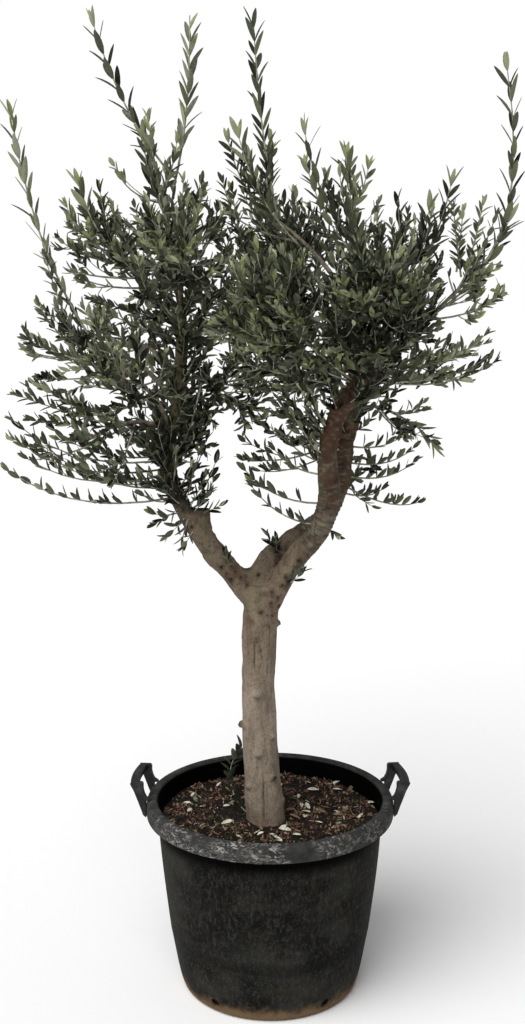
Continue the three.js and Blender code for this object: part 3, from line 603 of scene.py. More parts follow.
def plastic_finish():
    """Black moulded plastic, dull and scuffed, with lime on the lip, dry mud at the foot, and
    painted shadow under the lip.
    """
    made = Finish("scuffed_plastic", (0.010, 0.010, 0.010), 0.6, Specular_IOR_Level=0.02)
    height, on_lip = made.height(), made.painted("lip")
    cloud = made.noise(7, 5, (1, 1, 1.6))
    made.two_tones(made.between(cloud, 0.38, 0.68), (0.0055, 0.0055, 0.0052),
                   (0.0250, 0.0246, 0.0218))
    streaks = made.between(made.noise(130, 9, (1, 1, 0.5), 0.85), 0.46, 0.66)
    made.lay(streaks, (0.062, 0.060, 0.051), 0.55)
    stain = made.between(made.plus(height, made.times(cloud, 0.05)), 0.135, 0.155)
    made.lay(made.times(stain, made.between(height, 0.155, 0.135)), (0.0055, 0.0055, 0.0051), 0.55)
    made.lay(made.between(made.cells(150), 0.17, 0.09), (0.105, 0.100, 0.088), 0.5)
    dust = made.between(made.noise(9, 7, (1, 1, 2.2), 0.7), 0.50, 0.72)
    made.lay(dust, (0.030, 0.026, 0.018), 0.5)
    scratch = made.between(made.noise(26, 8, (1, 1, 2.4), 0.75, 2.5), 0.655, 0.70)
    made.lay(scratch, (0.085, 0.080, 0.068), 0.3)
    # the lip is painted a lighter blue-grey, for weathering and painted sheen, and carries dried
    # lime
    worn = made.between(made.noise(30, 4), 0.3, 0.75)
    made.lay(on_lip, made.mix(worn, (0.023, 0.0235, 0.023), (0.050, 0.050, 0.048)))
    lime = made.between(made.noise(70, 11, (1, 1, 2.0), 0.8, 1.2), 0.50, 0.60)
    lime = made.times(lime, made.between(made.noise(14, 5), 0.42, 0.54))
    made.lay(made.times(lime, made.painted("lime")), (0.30, 0.285, 0.262))
    # mud climbs the wall from the foot
    mud = made.between(made.plus(height, made.times(made.noise(34, 7), -0.065)), 0.010, -0.026)
    made.lay(mud, (0.180, 0.118, 0.066), 0.85)
    # painted shadow under the lip: near-black plastic where the lip's shade falls
    painted_lip_shadow = made.times(made.between(height, 0.345, 0.378), made.between(on_lip, 0.5, 0.0))
    made.lay(painted_lip_shadow, (0.0004, 0.0004, 0.0004), 0.97)
    rough = made.mix(made.between(cloud, 0.3, 0.7), (0.50, 0.50, 0.50), (0.72, 0.72, 0.72))
    made.set("Roughness", made.mix(mud, rough, (0.95, 0.95, 0.95)))
    made.bump(made.plus(made.noise(160, 5), made.times(scratch, -0.6)), 0.0009, 0.6)
    return made.look


def handle_finish():
    """The same black plastic on the handles, cleaner, with rubbed patches."""
    made = Finish("handle_plastic", (0.010, 0.011, 0.012), 0.5, Specular_IOR_Level=0.3)
    worn = made.between(made.noise(38, 6), 0.48, 0.72)
    made.two_tones(worn, (0.005, 0.0055, 0.006), (0.036, 0.036, 0.035))
    made.lay(made.between(made.cells(260), 0.12, 0.05), (0.2, 0.19, 0.17), 0.4)
    made.bump(made.noise(220, 4), 0.0005, 0.5)
    return made.look


def toned_finish(name, dark, light, roughness, shine, clouds, edges, grain=None):
    """A finish of two tones of one colour in clouds, with a fine grain where one is given.

    `clouds` holds the scale and detail of the clouds, `edges` where the tones begin and end, and
    `grain` the scale, detail, depth and strength of the grain.
    """
    made = Finish(name, light, roughness, Specular_IOR_Level=shine)
    made.two_tones(made.between(made.noise(*clouds), *edges), dark, light)
    if grain:
        made.bump(made.noise(*grain[:2]), *grain[2:])
    return made.look


def crumb_finish(name, dark, light, roughness=0.92):
    """Crumbs, chips and litter, whose tone changes from one to the next."""
    return toned_finish(name, dark, light, roughness, 0.2, (120, 3), (0.35, 0.65),
                        (700, 4, 0.0006, 0.7))


def leaf_finish(name, dark, light, roughness, shine):
    """One side of the leaves of one kind of spray: a plain colour that shades a little."""
    return toned_finish(name, dark, light, roughness, shine, (45, 2), (0.38, 0.62))


def twig_finish(name, dark, light):
    """Thin wood: grey-green and smooth when young, browner when old."""
    return toned_finish(name, dark, light, 0.7, 0.3, (70, 4), (0.35, 0.65), (600, 3, 0.0004, 0.6))


# ---------------------------------------------------------------- trunk, boughs and limbs

BARK = {"voxel": 2.4, "sides": 28, "ease": 0.5, "rounds": 9}
# The swollen foot of a limb on its bough: how far it reaches past the bark, its longest share of
# the limb, and how thick it is at its start and end.
COLLAR = {"reach": 30, "longest": 0.4, "swell": 1.45, "end": 0.9}

# Pruned stubs that stand out of the wood: from, to, radius at the foot and at the cut.
STUBS = [
    ((-46, -52, 613), (-67, -60, 622), 9.5, 7.5),
    ((6, -40, 836), (22, -42, 843), 10, 6),
    ((-150, -36, 1036), (-148, -38, 1089), 25, 21),
    ((-38, -32, 925), (-50, -32, 957), 16, 9),
    ((44, -58, 956), (33, -84, 950), 11, 8),
    ((96, -82, 1250), (84, -100, 1262), 10, 7),
    ((150, -100, 1246), (160, -112, 1260), 9, 6),
]
# Knots and scars: place, size, how far it stands out, how deep its eye is, and its colours.
KNOTS = [
    ((-27, -77, 692), 9, 7.0, 2.0, "pale"), ((-24, -78, 559), 7, 6.0, 1.0, "pale"),
    ((6, -70, 505), 7, 8.0, 1.5, "dark"), ((8, -68, 595), 6, 5.0, 0.5, "pale"),
    ((18, -45, 439), 9, 6.0, 1.0, "red"), ((-46, -68, 483), 8, 5.5, 0.5, "pale"),
    ((4, -66, 916), 9, 4.5, 5.0, "red"), ((14, -64, 904), 8, 4.0, 5.0, "red"),
    ((2, -70, 891), 8, 4.0, 4.0, "red"), ((17, -60, 886), 6, 3.5, 4.0, "dark"),
    ((-33, -70, 954), 8, 2.5, 7.0, "dark"), ((-72, -58, 957), 9, 4.0, 5.0, "red"),
    ((-92, -56, 951), 9, 4.5, 5.0, "red"), ((-84, -58, 938), 8, 3.5, 4.0, "dark"),
    ((-58, -62, 948), 8, 4.0, 4.5, "red"), ((36, -66, 948), 12, 3.0, 8.0, "dark"),
    ((-104, -56, 966), 7, 3.0, 4.0, "dark"), ((-48, -66, 930), 9, 2.5, 2.0, "brown"),
    ((-14, -74, 930), 10, 3.0, 0.5, "pale"), ((26, -70, 930), 8, 2.5, 3.0, "brown"),
    ((-20, -74, 872), 9, 2.0, 1.0, "brown"), ((8, -70, 862), 7, 2.0, 2.5, "red"),
    ((58, -76, 985), 8, 2.5, 3.0, "dark"), ((84, -86, 1020), 7, 2.0, 1.0, "pale"),
    ((-9, -74, 817), 3, 1.2, 0.5, "pale"), ((-5, -74, 866), 4, 1.5, 1.5, "dark"),
    ((-40, -70, 850), 8, 1.0, 0.5, "red"), ((-166, -54, 1052), 7, 2.0, 3.0, "dark"),
    ((-128, -52, 1012), 7, 1.5, 2.5, "green"), ((-146, -54, 1078), 8, 1.0, 0.5, "red"),
    ((100, -112, 1180), 8, 2.5, 3.5, "red"), ((122, -112, 1120), 9, 3.0, 0.5, "red"),
    ((126, -122, 1236), 8, 1.0, 0.5, "red"), ((140, -128, 1290), 9, 1.5, 1.0, "red"),
    ((168, -134, 1350), 11, 1.5, 1.0, "red"), ((150, 55, 1170), 11, 5.0, 2.0, "dark"),
]
# The long crack in the front of the trunk's foot, and two shorter ones higher up.
CRACKS = [((-14, 397), (-15, 520), 1.3), ((-33, 740), (-34, 806), 0.9),
          ((-17, 765), (-22, 800), 1.0)]


def grow_boughs():
    """The trunk and the boughs, each as one line, and by name the two lengths of each bough."""
    trunk = Limb(smooth_line(TRUNK["line"], 90), TRUNK["radii"])
    wood, lengths = [trunk], {}
    for name, bough in BOUGHS.items():
        line = Limb(smooth_line(bough["line"], 160), bough["radii"])
        wood.append(line)
        lengths["bough_" + name] = line.part(bough["fork"], bough["bend"])
        lengths["leader_" + name] = line.part(bough["bend"], 1)
    return wood, lengths


def limb_line(mass, lengths):
    """The curve of a limb and of the stem that carries on from it, as start, bend and end."""
    start = lengths[mass.bough].at(mass.share)
    end = np.array(mass.heart, float) + UP * LIMB["overshoot"] * mass.reach[2]
    onward = lengths[mass.bough].along(mass.share)
    way = onward if mass.share == 1 else unit(unit(end - start) + LIMB["onward"] * onward)
    bend = start + way * LIMB["bend"] * np.linalg.norm(end - start)
    return np.stack([start, bend, end])


def grow_limb(mass, lengths):
    """A limb, its swollen foot on the bough, and the stem that carries on from it."""
    bough = lengths[mass.bough]
    radius = mass.radius if mass.share < 1 else bough.radii[-1]
    points = bezier(limb_line(mass, lengths), np.linspace(0, 1, 24))
    limb = Limb(points, [share * radius for share in LIMB["taper"]])
    reach = (COLLAR["reach"] + bough.radius(mass.share)) / limb.length
    foot = limb.part(0, min(reach, COLLAR["longest"]), 10)
    foot.radii = foot.radii * np.linspace(COLLAR["swell"], COLLAR["end"], 10)
    return limb, foot, np.stack([limb.at(share) for share in LIMB["stem"]])


def straightened(points, wood):
    """Each point in the frame of the nearest limb, as if that limb stood upright at the origin.

    The limbs stand one above another, so that no two have the same pattern.
    """
    centres = np.vstack([limb.points for limb in wood])
    along = np.vstack([along_line(limb.points) for limb in wood])
    run = np.concatenate([np.linspace(0, limb.length, len(limb.points)) + 900 * i
                          for i, limb in enumerate(wood)])

    def nearest_of(block):
        return ((centres**2).sum(1) - 2 * block @ centres.T).argmin(axis=1)

    nearest = in_blocks(points, nearest_of)
    aside = unit(np.cross(along[nearest], (0.0, 1.0, 0.0)))
    across = np.cross(along[nearest], aside)
    off = points - centres[nearest]
    return np.stack([(off * aside).sum(1), (off * across).sum(1),
                     run[nearest] + (off * along[nearest]).sum(1)], axis=1)


def knot_relief(points, relief, tints):
    """Adds the knots, each a bell with a pit at its middle, with painted shadow below where it
    stands out.
    """
    for place, size, out, eye, tint in KNOTS:
        place = points[gaps_to(place, points).argmin()]
        gap = gaps_to(place, points) / size
        relief += out * bell(gap) - eye * bell(gap, 0.42)
        tints[tint] += (0.3 if tint == "pale" else 0.85) * bell(gap, 0.75)
        tints["dark"] += 0.6 * bell(gap, 0.35) * (eye > 0.8)
        # painted shadow below each knot that stands out
        tints["dark"] += 0.5 * bell(gaps_to(place - UP * size, points), 0.7 * size) * (out >= 3)


def crack_relief(points, relief, tints):
    """Adds the named cracks: grooves in the front of the trunk that fade out at their ends."""
    for (low_x, low_z), (high_x, high_z), width in CRACKS:
        share = (points[:, 2] - low_z) / (high_z - low_z)
        middle = low_x + (high_x - low_x) * share + 0.9 * noise(points, 15, 7)
        inside = (share > 0) & (share < 1) & (points[:, 1] < -42)
        fade = np.sqrt(np.clip(4 * share * (1 - share), 0, 1))
        groove = bell(points[:, 0] - middle, width) * inside * fade
        relief -= 1.8 * groove
        tints["dark"] += groove


def bark_tints(points, upright, elbow, tints):
    """Adds the tints of whole stretches: cut ends, a ruddy right bough and a mossy left one, and
    painted shade on the right bough and at the foot of the left leader.
    """
    height = points[:, 2]
    for _, end, _, tip in STUBS:
        tints["dark"] += 0.9 * np.clip(1.25 - gaps_to(end, points) / (tip + 2), 0, 1)
    tints["red"] += 0.55 * ramp(height, 446, 398) * (0.6 + 0.4 * noise(points, 12, 8))
    rightward = ramp(points[:, 0], 40, 70)
    # painted shade of the crown on the right bough, with its darker brown bark, laid on by the
    # brown tint
    shaded = ramp(height, 930, 1020) * rightward
    tints["brown"] += shaded * (0.72 + 0.25 * noise(points, 18, 17))
    ruddy = ramp(height, 1080, 1240) * rightward
    tints["red"] += ruddy * (0.5 + 0.45 * noise(points, 15, 9))
    tints["pale"] += 0.25 * shaded * np.clip(noise(upright, (9, 9, 4), 13) - 0.1, 0, 1)
    # painted shade on the left bough where the leader leaves it
    leader_foot_shade = bell(height - 1130, 42) * (points[:, 0] < -110)
    tints["dark"] += leader_foot_shade * (0.85 + 0.3 * noise(points, 22, 16))
    tints["pale"] += 0.5 * elbow * np.clip(noise(upright, (30, 30, 4), 14), 0, 1)
    mossy = ramp(height, 1120, 1240) * (1 - rightward)
    tints["green"] += 0.6 * mossy * (0.7 + 0.3 * noise(points, 20, 15))
    tints["green"] += 0.3 * (noise(points, 34, 10) > 0.35) * (height > 860)
    tints["dark"] += 0.35 * np.clip(-noise(points, 30, 11) - 0.3, 0, 1)


def bark_relief(points, wood):
    """How far the bark stands out at each point, and its tints.

    The sum of broad swellings, rings that run round the limb, fine cracks that run along it, the
    ridges of the right bough's elbow, the knots, and grooves for the named cracks.
    """
    upright = straightened(points, wood)
    above_fork = ramp(points[:, 2], 900, 960)
    relief = 1.9 * noise(points, 62, 1) + (1.0 + 1.7 * above_fork) * noise(points, 24, 2)
    relief += above_fork * noise(upright, (16, 16, 6), 3)
    elbow = bell(points[:, 2] - 1062, 42) * (points[:, 0] > 70)
    relief += 0.7 * elbow * np.sin(upright[:, 2] * 0.72 + 2 * noise(points, 30, 12))
    relief += 0.35 * noise(upright, (6, 6, 11), 4)
    furrows = np.abs(noise(upright, (10, 10, 70), 5))
    relief -= 0.9 * bell(furrows, 0.10) * (noise(points, 90, 6) > -0.1)
    tints = {name: np.zeros(len(points)) for name in TINTS}
    knot_relief(points, relief, tints)
    crack_relief(points, relief, tints)
    bark_tints(points, upright, elbow, tints)
    return relief, {name: np.clip(value, 0, 1) for name, value in tints.items()}


def make_bark(wood, collars):
    """The trunk, the boughs and the feet of the limbs, run together into one skin with relief."""
    bodies = [*wood, *collars]
    bodies += [Limb(np.linspace(a, b, 5), [foot, cut]) for a, b, foot, cut in STUBS]
    shells = [tubes(limb.points[None], limb.radii[None], BARK["sides"]) for limb in bodies]
    rough = add_object("rough_bark", new_mesh("rough_bark", *merged(shells)))
    skin = rough.modifiers.new("skin", "REMESH")
    skin.mode, skin.voxel_size = "VOXEL", BARK["voxel"] * MM
    ease = rough.modifiers.new("ease", "SMOOTH")
    ease.factor, ease.iterations = BARK["ease"], BARK["rounds"]
    mesh = modified(rough)
    bpy.data.objects.remove(rough)
    count = len(mesh.vertices)
    places, normals = np.empty(count * 3, np.float32), np.empty(count * 3, np.float32)
    mesh.vertices.foreach_get("co", places)
    mesh.vertices.foreach_get("normal", normals)
    places = places.reshape(-1, 3).astype(float) / MM
    relief, tints = bark_relief(places, wood)
    places += relief[:, None] * normals.reshape(-1, 3)
    mesh.vertices.foreach_set("co", (places * MM).astype(np.float32).ravel())
    for name, value in tints.items():
        paint(mesh, name, value)
    mesh.polygons.foreach_set("use_smooth", np.ones(len(mesh.polygons), bool))
    mesh.update()
    nodes = ["trunk"] + nodes_named("bough_", "leader_")
    piece("bark", mesh, bark_finish(), nodes)


# ---------------------------------------------------------------- the spaces of the masses


def sites_of(mass):
    """The places whose room a mass keeps: its heart, and points along its long shoots."""
    heart = np.array(mass.heart, float)
    places, rooms = [heart], [np.cbrt(np.prod(mass.reach)) ** 2]
    for tip in mass.tips:
        curve = shoot_line(heart, np.array(tip, float))
        length = np.linalg.norm(np.diff(bezier(curve, np.linspace(0, 1, 20)), axis=0), axis=1).sum()
        count = math.ceil(length / SHOOT["spaced"])
        places.extend(bezier(curve, np.arange(1, count + 1) / count))
        rooms.extend([SHOOT["room"] ** 2] * count)
    return np.array(places), np.array(rooms)


def shoot_line(start, tip):
    """A long shoot leaves sideways and then climbs."""
    bend = start + (tip - start) * (SHOOT["lean"], SHOOT["lean"], SHOOT["rise"])
    return np.stack([start, bend, tip])


class Spaces:
    """Which points each mass may fill: nearer to its own sites than to others', and in reach."""

    def __init__(self):
        self.sites = [sites_of(mass) for mass in MASSES.values()]
        columns = zip(*((m.heart, m.reach, m.rise, m.full) for m in MASSES.values()))
        self.hearts, self.reaches, self.rises, self.fulls = (np.array(c, float) for c in columns)

    def distance(self, owner, points, spare=0):
        """How far from its heart each point lies, as a share of the mass's half sizes."""
        return np.linalg.norm((points - self.hearts[owner]) / (self.reaches[owner] + spare), axis=1)

    def in_box(self, points):
        """True for each point well inside the part's own box."""
        return ((points > CAD_LOW / MM + BOX_MARGIN) & (points < CAD_HIGH / MM - BOX_MARGIN)).all(1)

    def allows(self, owner, points, spare):
        """True for each point that lies in the space of its owner, and inside the part's box."""
        allowed = self.in_box(points)
        for index in np.unique(owner):
            mine = np.flatnonzero((owner == index) & allowed)
            depth = [((points[mine, None] - at) ** 2).sum(2) - room for at, room in self.sites]
            own = depth[index].min(axis=1)
            others = np.min([d.min(axis=1) for k, d in enumerate(depth) if k != index], axis=0)
            near_shoot = depth[index][:, 1:].min(axis=1, initial=np.inf) < 0
            in_reach = self.distance(owner[mine], points[mine], spare) < 1
            allowed[mine] = (own < others) & (in_reach | near_shoot)
        return allowed


# ---------------------------------------------------------------- twigs

BOX_MARGIN = 1.5  # inside the part's own box
SPARE = {"side": 15, "twig": 50, "leaf": 70}  # how far each may stand out of its mass
RINGS = 8  # points along a twig
PROBES = 12  # places where a twig is tried against the space of its mass
MORE_TWIGS = 2.6  # twigs from a stem, for each one of the part's rule
# Radii of the twigs at their foot, of the thinnest, and of a twig's end as a share of its foot.
THICK = {"spread": 2.6, "spray": 2.4, "tall": 2.3, "shoot": 2.9, "sprig": 1.5, "lone": 1.3,
         "side": 1.6, "side_share": 0.62, "least": 0.75, "end_share": 0.42}
# Side twigs: their spacing, the bare shares of a parent's foot and of a mass's top, their slant off
# a level parent and off a climbing one, and the run of parent ahead that lets them grow longest.
SIDE = {"spacing": 43, "bare": 0.12, "top_bare": 0.7, "level_angle": 34, "climb_angle": 46,
        "full_length": 130}
# Small sprigs with a place of their own, from foot to tip: low on the boughs, and four at the back
# of the crown.
LONE_SPRIGS = [((-84, -44, 958), (-93, -56, 994)), ((16, -12, 986), (-6, -40, 1030)),
               ((14, -14, 988), (12, -44, 1024)), ((-160, -54, 1050), (-182, -70, 1016)),
               ((42, -70, 936), (66, -86, 962)), ((-192, -44, 1092), (-236, -60, 1064)),
               ((-180, -50, 1072), (-212, -66, 1040)), ((118, -60, 1060), (134, -70, 1040)),
               ((-160, -50, 1085), (-128, -64, 1128)), ((-168, -50, 1095), (-138, -70, 1158)),
               ((-152, -48, 1080), (-108, -60, 1098)), ((-176, -50, 1110), (-160, -76, 1172)),
               ((-196, -44, 1120), (-226, -70, 1158)), ((-200, -44, 1130), (-250, -66, 1140)),
               ((40, 300, 1600), (70, 460, 1650)), ((30, 300, 1590), (-20, 448, 1630)),
               ((250, 300, 1560), (276, 456, 1604)), ((240, 300, 1570), (214, 446, 1640)),
               ((-205, -40, 1150), (-232, -64, 1206)), ((-190, -44, 1100), (-214, -74, 1128))]
# Sprigs on the wood: from and to which share of its length, and how many.
WOOD_SPRIGS = {"leader_left": (0.0, 0.95, 36), "bough_left": (0.82, 1.0, 24),
               "leader_right": (0.45, 0.98, 18), "leader_back": (0.3, 0.98, 18)}
# Upright twigs: how many, where on the stem they start, and how far out and up they end.
RISER = {"count": 11, "from": 0.45, "out": 0.82, "up": (0.75, 1.42)}

# The kinds of twig, and for each the length of its leaves, their width as a share of that, the gap
# from one pair to the next, the slant of the leaves off the twig in degrees, and its bare share.
Kind = namedtuple("Kind", "leaf width gap slant bare", defaults=[0.08])
SPREAD, LONG, TALL, SPRIG, WOOD, LEVEL, COMB = range(7)
KINDS = (Kind(27, 0.35, 13, 44, 0.34), Kind(53, 0.235, 23, 27, 0.2), Kind(37, 0.30, 19, 30),
         Kind(26, 0.36, 12, 42), Kind(29, 0.36, 14, 42), Kind(28, 0.36, 17, 52),
         Kind(33, 0.35, 29, 54))
# Side twigs, by what they leave: how full they are as a share of the mass, their length and kind,
# the share of the parent they end at, the shortest kept, and how far they may leave the mass.
SIDES = {"spread": (1.0, 105, SPRIG, 1.0, 22, SPARE["side"]),
         "tall": (0.8, 58, SPRIG, 0.6, 22, SPARE["twig"]),
         "foot": (0.8, 78, SPRIG, 1.0, 22, SPARE["side"]),
         "comb": (0.75, 48, LEVEL, 1.0, 18, SPARE["twig"])}

rng = np.random.default_rng(11)


class Twigs:
    """Many quadratic curves at once, each with its owner, radius at the foot, kind and tone.

    `limit` is the share of the curve that has grown, and `turn` is where its first leaf stands.
    """

    keys = ("curves", "owner", "radius", "kind", "limit", "turn", "tone")

    def __init__(self, curves, owner, radius, kind):
        self.curves = np.asarray(curves, float).reshape(-1, 3, 3)
        count = len(self.curves)
        self.owner = np.broadcast_to(owner, count).copy()
        self.radius = np.broadcast_to(radius, count).astype(float).copy()
        self.kind = np.broadcast_to(kind, count).copy()
        self.limit = np.ones(count)
        self.turn = rng.uniform(0, 2 * math.pi, count)
        self.tone = rng.uniform(0, 1, count)

    def at(self, share):
        return bezier(self.curves, (share * self.limit)[:, None])[:, 0]

    def along(self, share):
        t = (share * self.limit)[:, None]
        start, bend, end = self.curves[:, 0], self.curves[:, 1], self.curves[:, 2]
        return unit((1 - t) * (bend - start) + t * (end - bend))

    def lines(self):
        """RINGS points along each twig, as far as it has grown."""
        return bezier(self.curves, np.linspace(0, 1, RINGS) * self.limit[:, None])

    def lengths(self):
        return np.linalg.norm(np.diff(self.lines(), axis=1), axis=2).sum(axis=1)

    def only(self, keep):
        """The chosen twigs, as a new set."""
        chosen = Twigs(self.curves[keep], 0, 0, 0)
        for key in self.keys:
            setattr(chosen, key, getattr(self, key)[keep])
        return chosen

    def trimmed(self, spaces, least, spare=0):
        """Ends each twig where it leaves its mass, and drops what is left shorter than `least`."""
        count = len(self.owner)
        shares = np.linspace(0.15, 1, PROBES)
        points = bezier(self.curves, np.broadcast_to(shares, (count, PROBES))).reshape(-1, 3)
        allowed = spaces.allows(np.repeat(self.owner, PROBES), points, spare).reshape(count, PROBES)
        first_out = np.where(allowed.all(axis=1), PROBES, (~allowed).argmax(axis=1))
        self.limit = np.concatenate([[0.02], shares])[first_out]
        return self.only(self.lengths() > least)


def twigs_through(starts, bends, tips, owner, radius, kind):
    """Twigs from arrays of their three marks."""
    return Twigs(np.stack([starts, bends, tips], axis=1), owner, radius, kind)


def joined(*groups):
    """Several sets of twigs as one."""
    made = Twigs(np.vstack([g.curves for g in groups]), 0, 0, 0)
    for key in Twigs.keys:
        setattr(made, key, np.concatenate([getattr(g, key) for g in groups]))
    return made


def perpendicular(along):
    """Two directions at right angles to each of the given ones."""
    reference = np.where(np.abs(along[:, 2:]) > 0.8, (1.0, 0.2, 0.0), (0.0, 0.1, 1.0))
    aside = unit(np.cross(along, reference))
    return aside, np.cross(along, aside)


def spread_twigs(index, mass, stem):
    """The twigs of a mass by the part's rule: a golden angle apart, out to its half sizes."""
    heart, reach, seed = np.array(mass.heart, float), np.array(mass.reach, float), index + 1
    count = max(3, round(mass.twigs * MORE_TWIGS * mass.full))
    k = np.arange(count)
    up = 0.1 + 0.86 * (1 - (2 * k + 1) / count)
    around = k * GOLDEN_ANGLE + 2 * seed
    level = np.sqrt(1 - up * up)
    share = 0.85 + 0.15 * np.array([chance(seed + i) for i in k])
    way = np.stack([level * np.cos(around), level * np.sin(around), up], axis=1)
    tips = heart + reach * share[:, None] * way
    starts = bezier(stem, np.minimum(0.1 + 0.85 * (up + 0.8) / 1.8, 0.97))
    sag = SAG["twig"] * np.linalg.norm(tips - starts, axis=1)[:, None] * (1 - 0.5 * mass.rise)
    bends = (starts + tips) / 2 + (tips - starts) * (0.2, 0.2, -0.1) * mass.rise - UP * sag
    made = twigs_through(starts, bends, tips, index, THICK["spread"], SPREAD)
    if mass.rise < 0.25:
        made.kind[:] = LEVEL
    return made


def level_sprays(index, name):
    """The named sprays of a mass. Those of a low one sag a little on their way."""
    ends = np.array(SPRAYS[name], float)
    kind = COMB if MASSES[name].rise < 0.35 else WOOD
    sag = SAG["spray"] * np.linalg.norm(ends[:, 1] - ends[:, 0], axis=1)[:, None] * (kind == COMB)
    bends = ends.mean(axis=1) + (ends[:, 1] - ends[:, 0]) * (0.12, 0.12, 0) - UP * sag
    return twigs_through(ends[:, 0], bends, ends[:, 1], index, THICK["spray"], kind)


def tall_twigs(index, mass, stem):
    """Upright twigs that stand out of the top of a mass, more of them where it climbs more."""
    heart, reach = np.array(mass.heart, float), np.array(mass.reach, float)
    count = round(RISER["count"] * mass.rise ** 2 * mass.full)
    around = np.arange(count) * GOLDEN_ANGLE + index
    out = RISER["out"] * np.sqrt((np.arange(count) + 0.5) / max(count, 1))
    low, high = RISER["up"]
    climb = rng.uniform(low, low + (high - low) * mass.rise ** 2, count)
    offset = np.stack([out * np.cos(around), out * np.sin(around), climb], axis=1)
    tips = heart + reach * offset
    starts = bezier(stem, rng.uniform(RISER["from"], 0.95, count))
    bends = starts + (tips - starts) * (0.75, 0.75, 0.42)
    return twigs_through(starts, bends, tips, index, THICK["tall"], TALL)


def long_shoots(index, mass, stem):
    """The shoots that reach the named tips above or below a mass, less the leaves at their end."""
    made = []
    for k, tip in enumerate(mass.tips):
        foot = bezier(stem, [max(0.78 - 0.2 * k, 0.2)])[0]
        line = shoot_line(foot, np.array(tip, float))
        if tip in SHOOT_BENDS:
            line[:2] = SHOOT_BENDS[tip]
        if abs(tip[2] - mass.heart[2]) > SHOOT["beyond"] * mass.reach[2]:
            made.append(line)
    shoots = Twigs(np.array(made).reshape(-1, 3, 3), index, THICK["shoot"], LONG)
    short = np.maximum(shoots.lengths(), 1)
    shoots.limit = 1 - 0.8 * KINDS[LONG].leaf / short
    return shoots


def wood_sprigs(lengths, spaces):
    """Short sprigs that stand on the wood itself, a golden angle apart, and turn upwards."""
    groups = []
    for name, (first, last, count) in WOOD_SPRIGS.items():
        limb = lengths[name]
        shares = np.linspace(first, last, count)
        starts = np.array([limb.at(share) for share in shares])
        along = np.array([limb.along(share) for share in shares])
        aside, across = perpendicular(along)
        turn = (GOLDEN_ANGLE * np.arange(count))[:, None]
        out = aside * np.cos(turn) + across * np.sin(turn)
        half = rng.uniform(60, 125, (count, 1)) * 0.5
        bends = starts + unit(out + 0.5 * along) * half
        tips = bends + unit(0.6 * out + UP) * half
        owner = ((tips[:, None] - spaces.hearts) ** 2).sum(2).argmin(axis=1)
        groups.append(twigs_through(starts, bends, tips, owner, THICK["sprig"], WOOD))
    sprigs = np.array(LONE_SPRIGS, float)
    bends = sprigs.mean(axis=1) - UP * 4
    groups.append(twigs_through(sprigs[:, 0], bends, sprigs[:, 1], 0, THICK["lone"], WOOD))
    # the sprigs on the wood take darker leaf tones: painted shade near the wood
    for group in groups:
        group.tone *= 0.5
    return joined(*groups)


def layers(full):
    """How many leaves a line of sight must meet, on average, to find one as often as `full`."""
    return -np.log(1 - np.clip(full, 0.2, 0.98))


def side_twigs(parents, spaces, name):
    """Twigs that leave each parent in turn, a golden angle round from the last, and bend up.

    They are closer where the mass is fuller, and fewer towards its top. `name` is a row of SIDES.
    """
    thin, size, kind, highest, least, spare = SIDES[name]
    lengths, rise = parents.lengths(), spaces.rises[parents.owner]
    spacing = SIDE["spacing"] / layers((spaces.fulls * thin)[parents.owner])
    groups = []
    for step in range(int((lengths / spacing).max()) + 1):
        share = 1 - (step + 0.7) * spacing / np.maximum(lengths, 1)
        if not (share > SIDE["bare"]).any():
            break
        here = np.flatnonzero((share > SIDE["bare"]) & (share < highest))
        if not len(here):
            continue
        owner = parents.owner[here]
        height = (parents.only(here).at(share[here]) - spaces.hearts[owner])[:, 2]
        top = np.clip(height / spaces.reaches[owner, 2], 0, 1)
        bare = SIDE["top_bare"] * top * spaces.rises[owner]
        here = here[rng.uniform(0, 1, len(here)) > bare]
        held, at, lift = parents.only(here), share[here], rise[here, None]
        start, along = held.at(at), held.along(at)
        aside, across = perpendicular(along)
        turn = (held.turn + GOLDEN_ANGLE * step)[:, None]
        out = aside * np.cos(turn) + across * np.sin(turn)
        out = unit(out * np.where(np.arange(3) == 2, 0.35 + 0.65 * lift, 1.0))
        slant = np.radians(SIDE["level_angle"] * (1 - lift) + SIDE["climb_angle"] * lift)
        slant = slant * rng.uniform(0.8, 1.2, (len(here), 1))
        way = unit(along * np.cos(slant) + out * np.sin(slant))
        ahead = np.minimum((1 - at) * lengths[here] / SIDE["full_length"], 1)
        length = size * (0.45 + 0.75 * ahead) * rng.uniform(0.65, 1.15, len(here))
        half = 0.5 * length[:, None]
        bend = start + way * half
        end = bend + unit(way + UP * (0.15 + 0.75 * lift)) * half
        radius = np.minimum(held.radius * THICK["side_share"], THICK["side"])
        made = twigs_through(start, bend, end, held.owner, radius, kind)
        made.kind[held.kind >= LEVEL] = LEVEL
        made.tone = np.clip(held.tone + rng.normal(0, 0.3, len(here)), 0, 1)
        groups.append(made)
    return joined(*groups).trimmed(spaces, least, spare)


def clear_of_wood(points, timber, gap):
    """True for each point at least `gap` from the bark."""
    centres = np.vstack([limb.points[::3] for limb in timber])
    radii = np.concatenate([limb.radii[::3] for limb in timber])

    def clearance(block):
        squares = (block**2).sum(1)[:, None] + (centres**2).sum(1) - 2 * block @ centres.T
        return (np.sqrt(np.maximum(squares, 0)) - radii).min(axis=1)

    return in_blocks(points, clearance) > gap


# ---------------------------------------------------------------- leaves

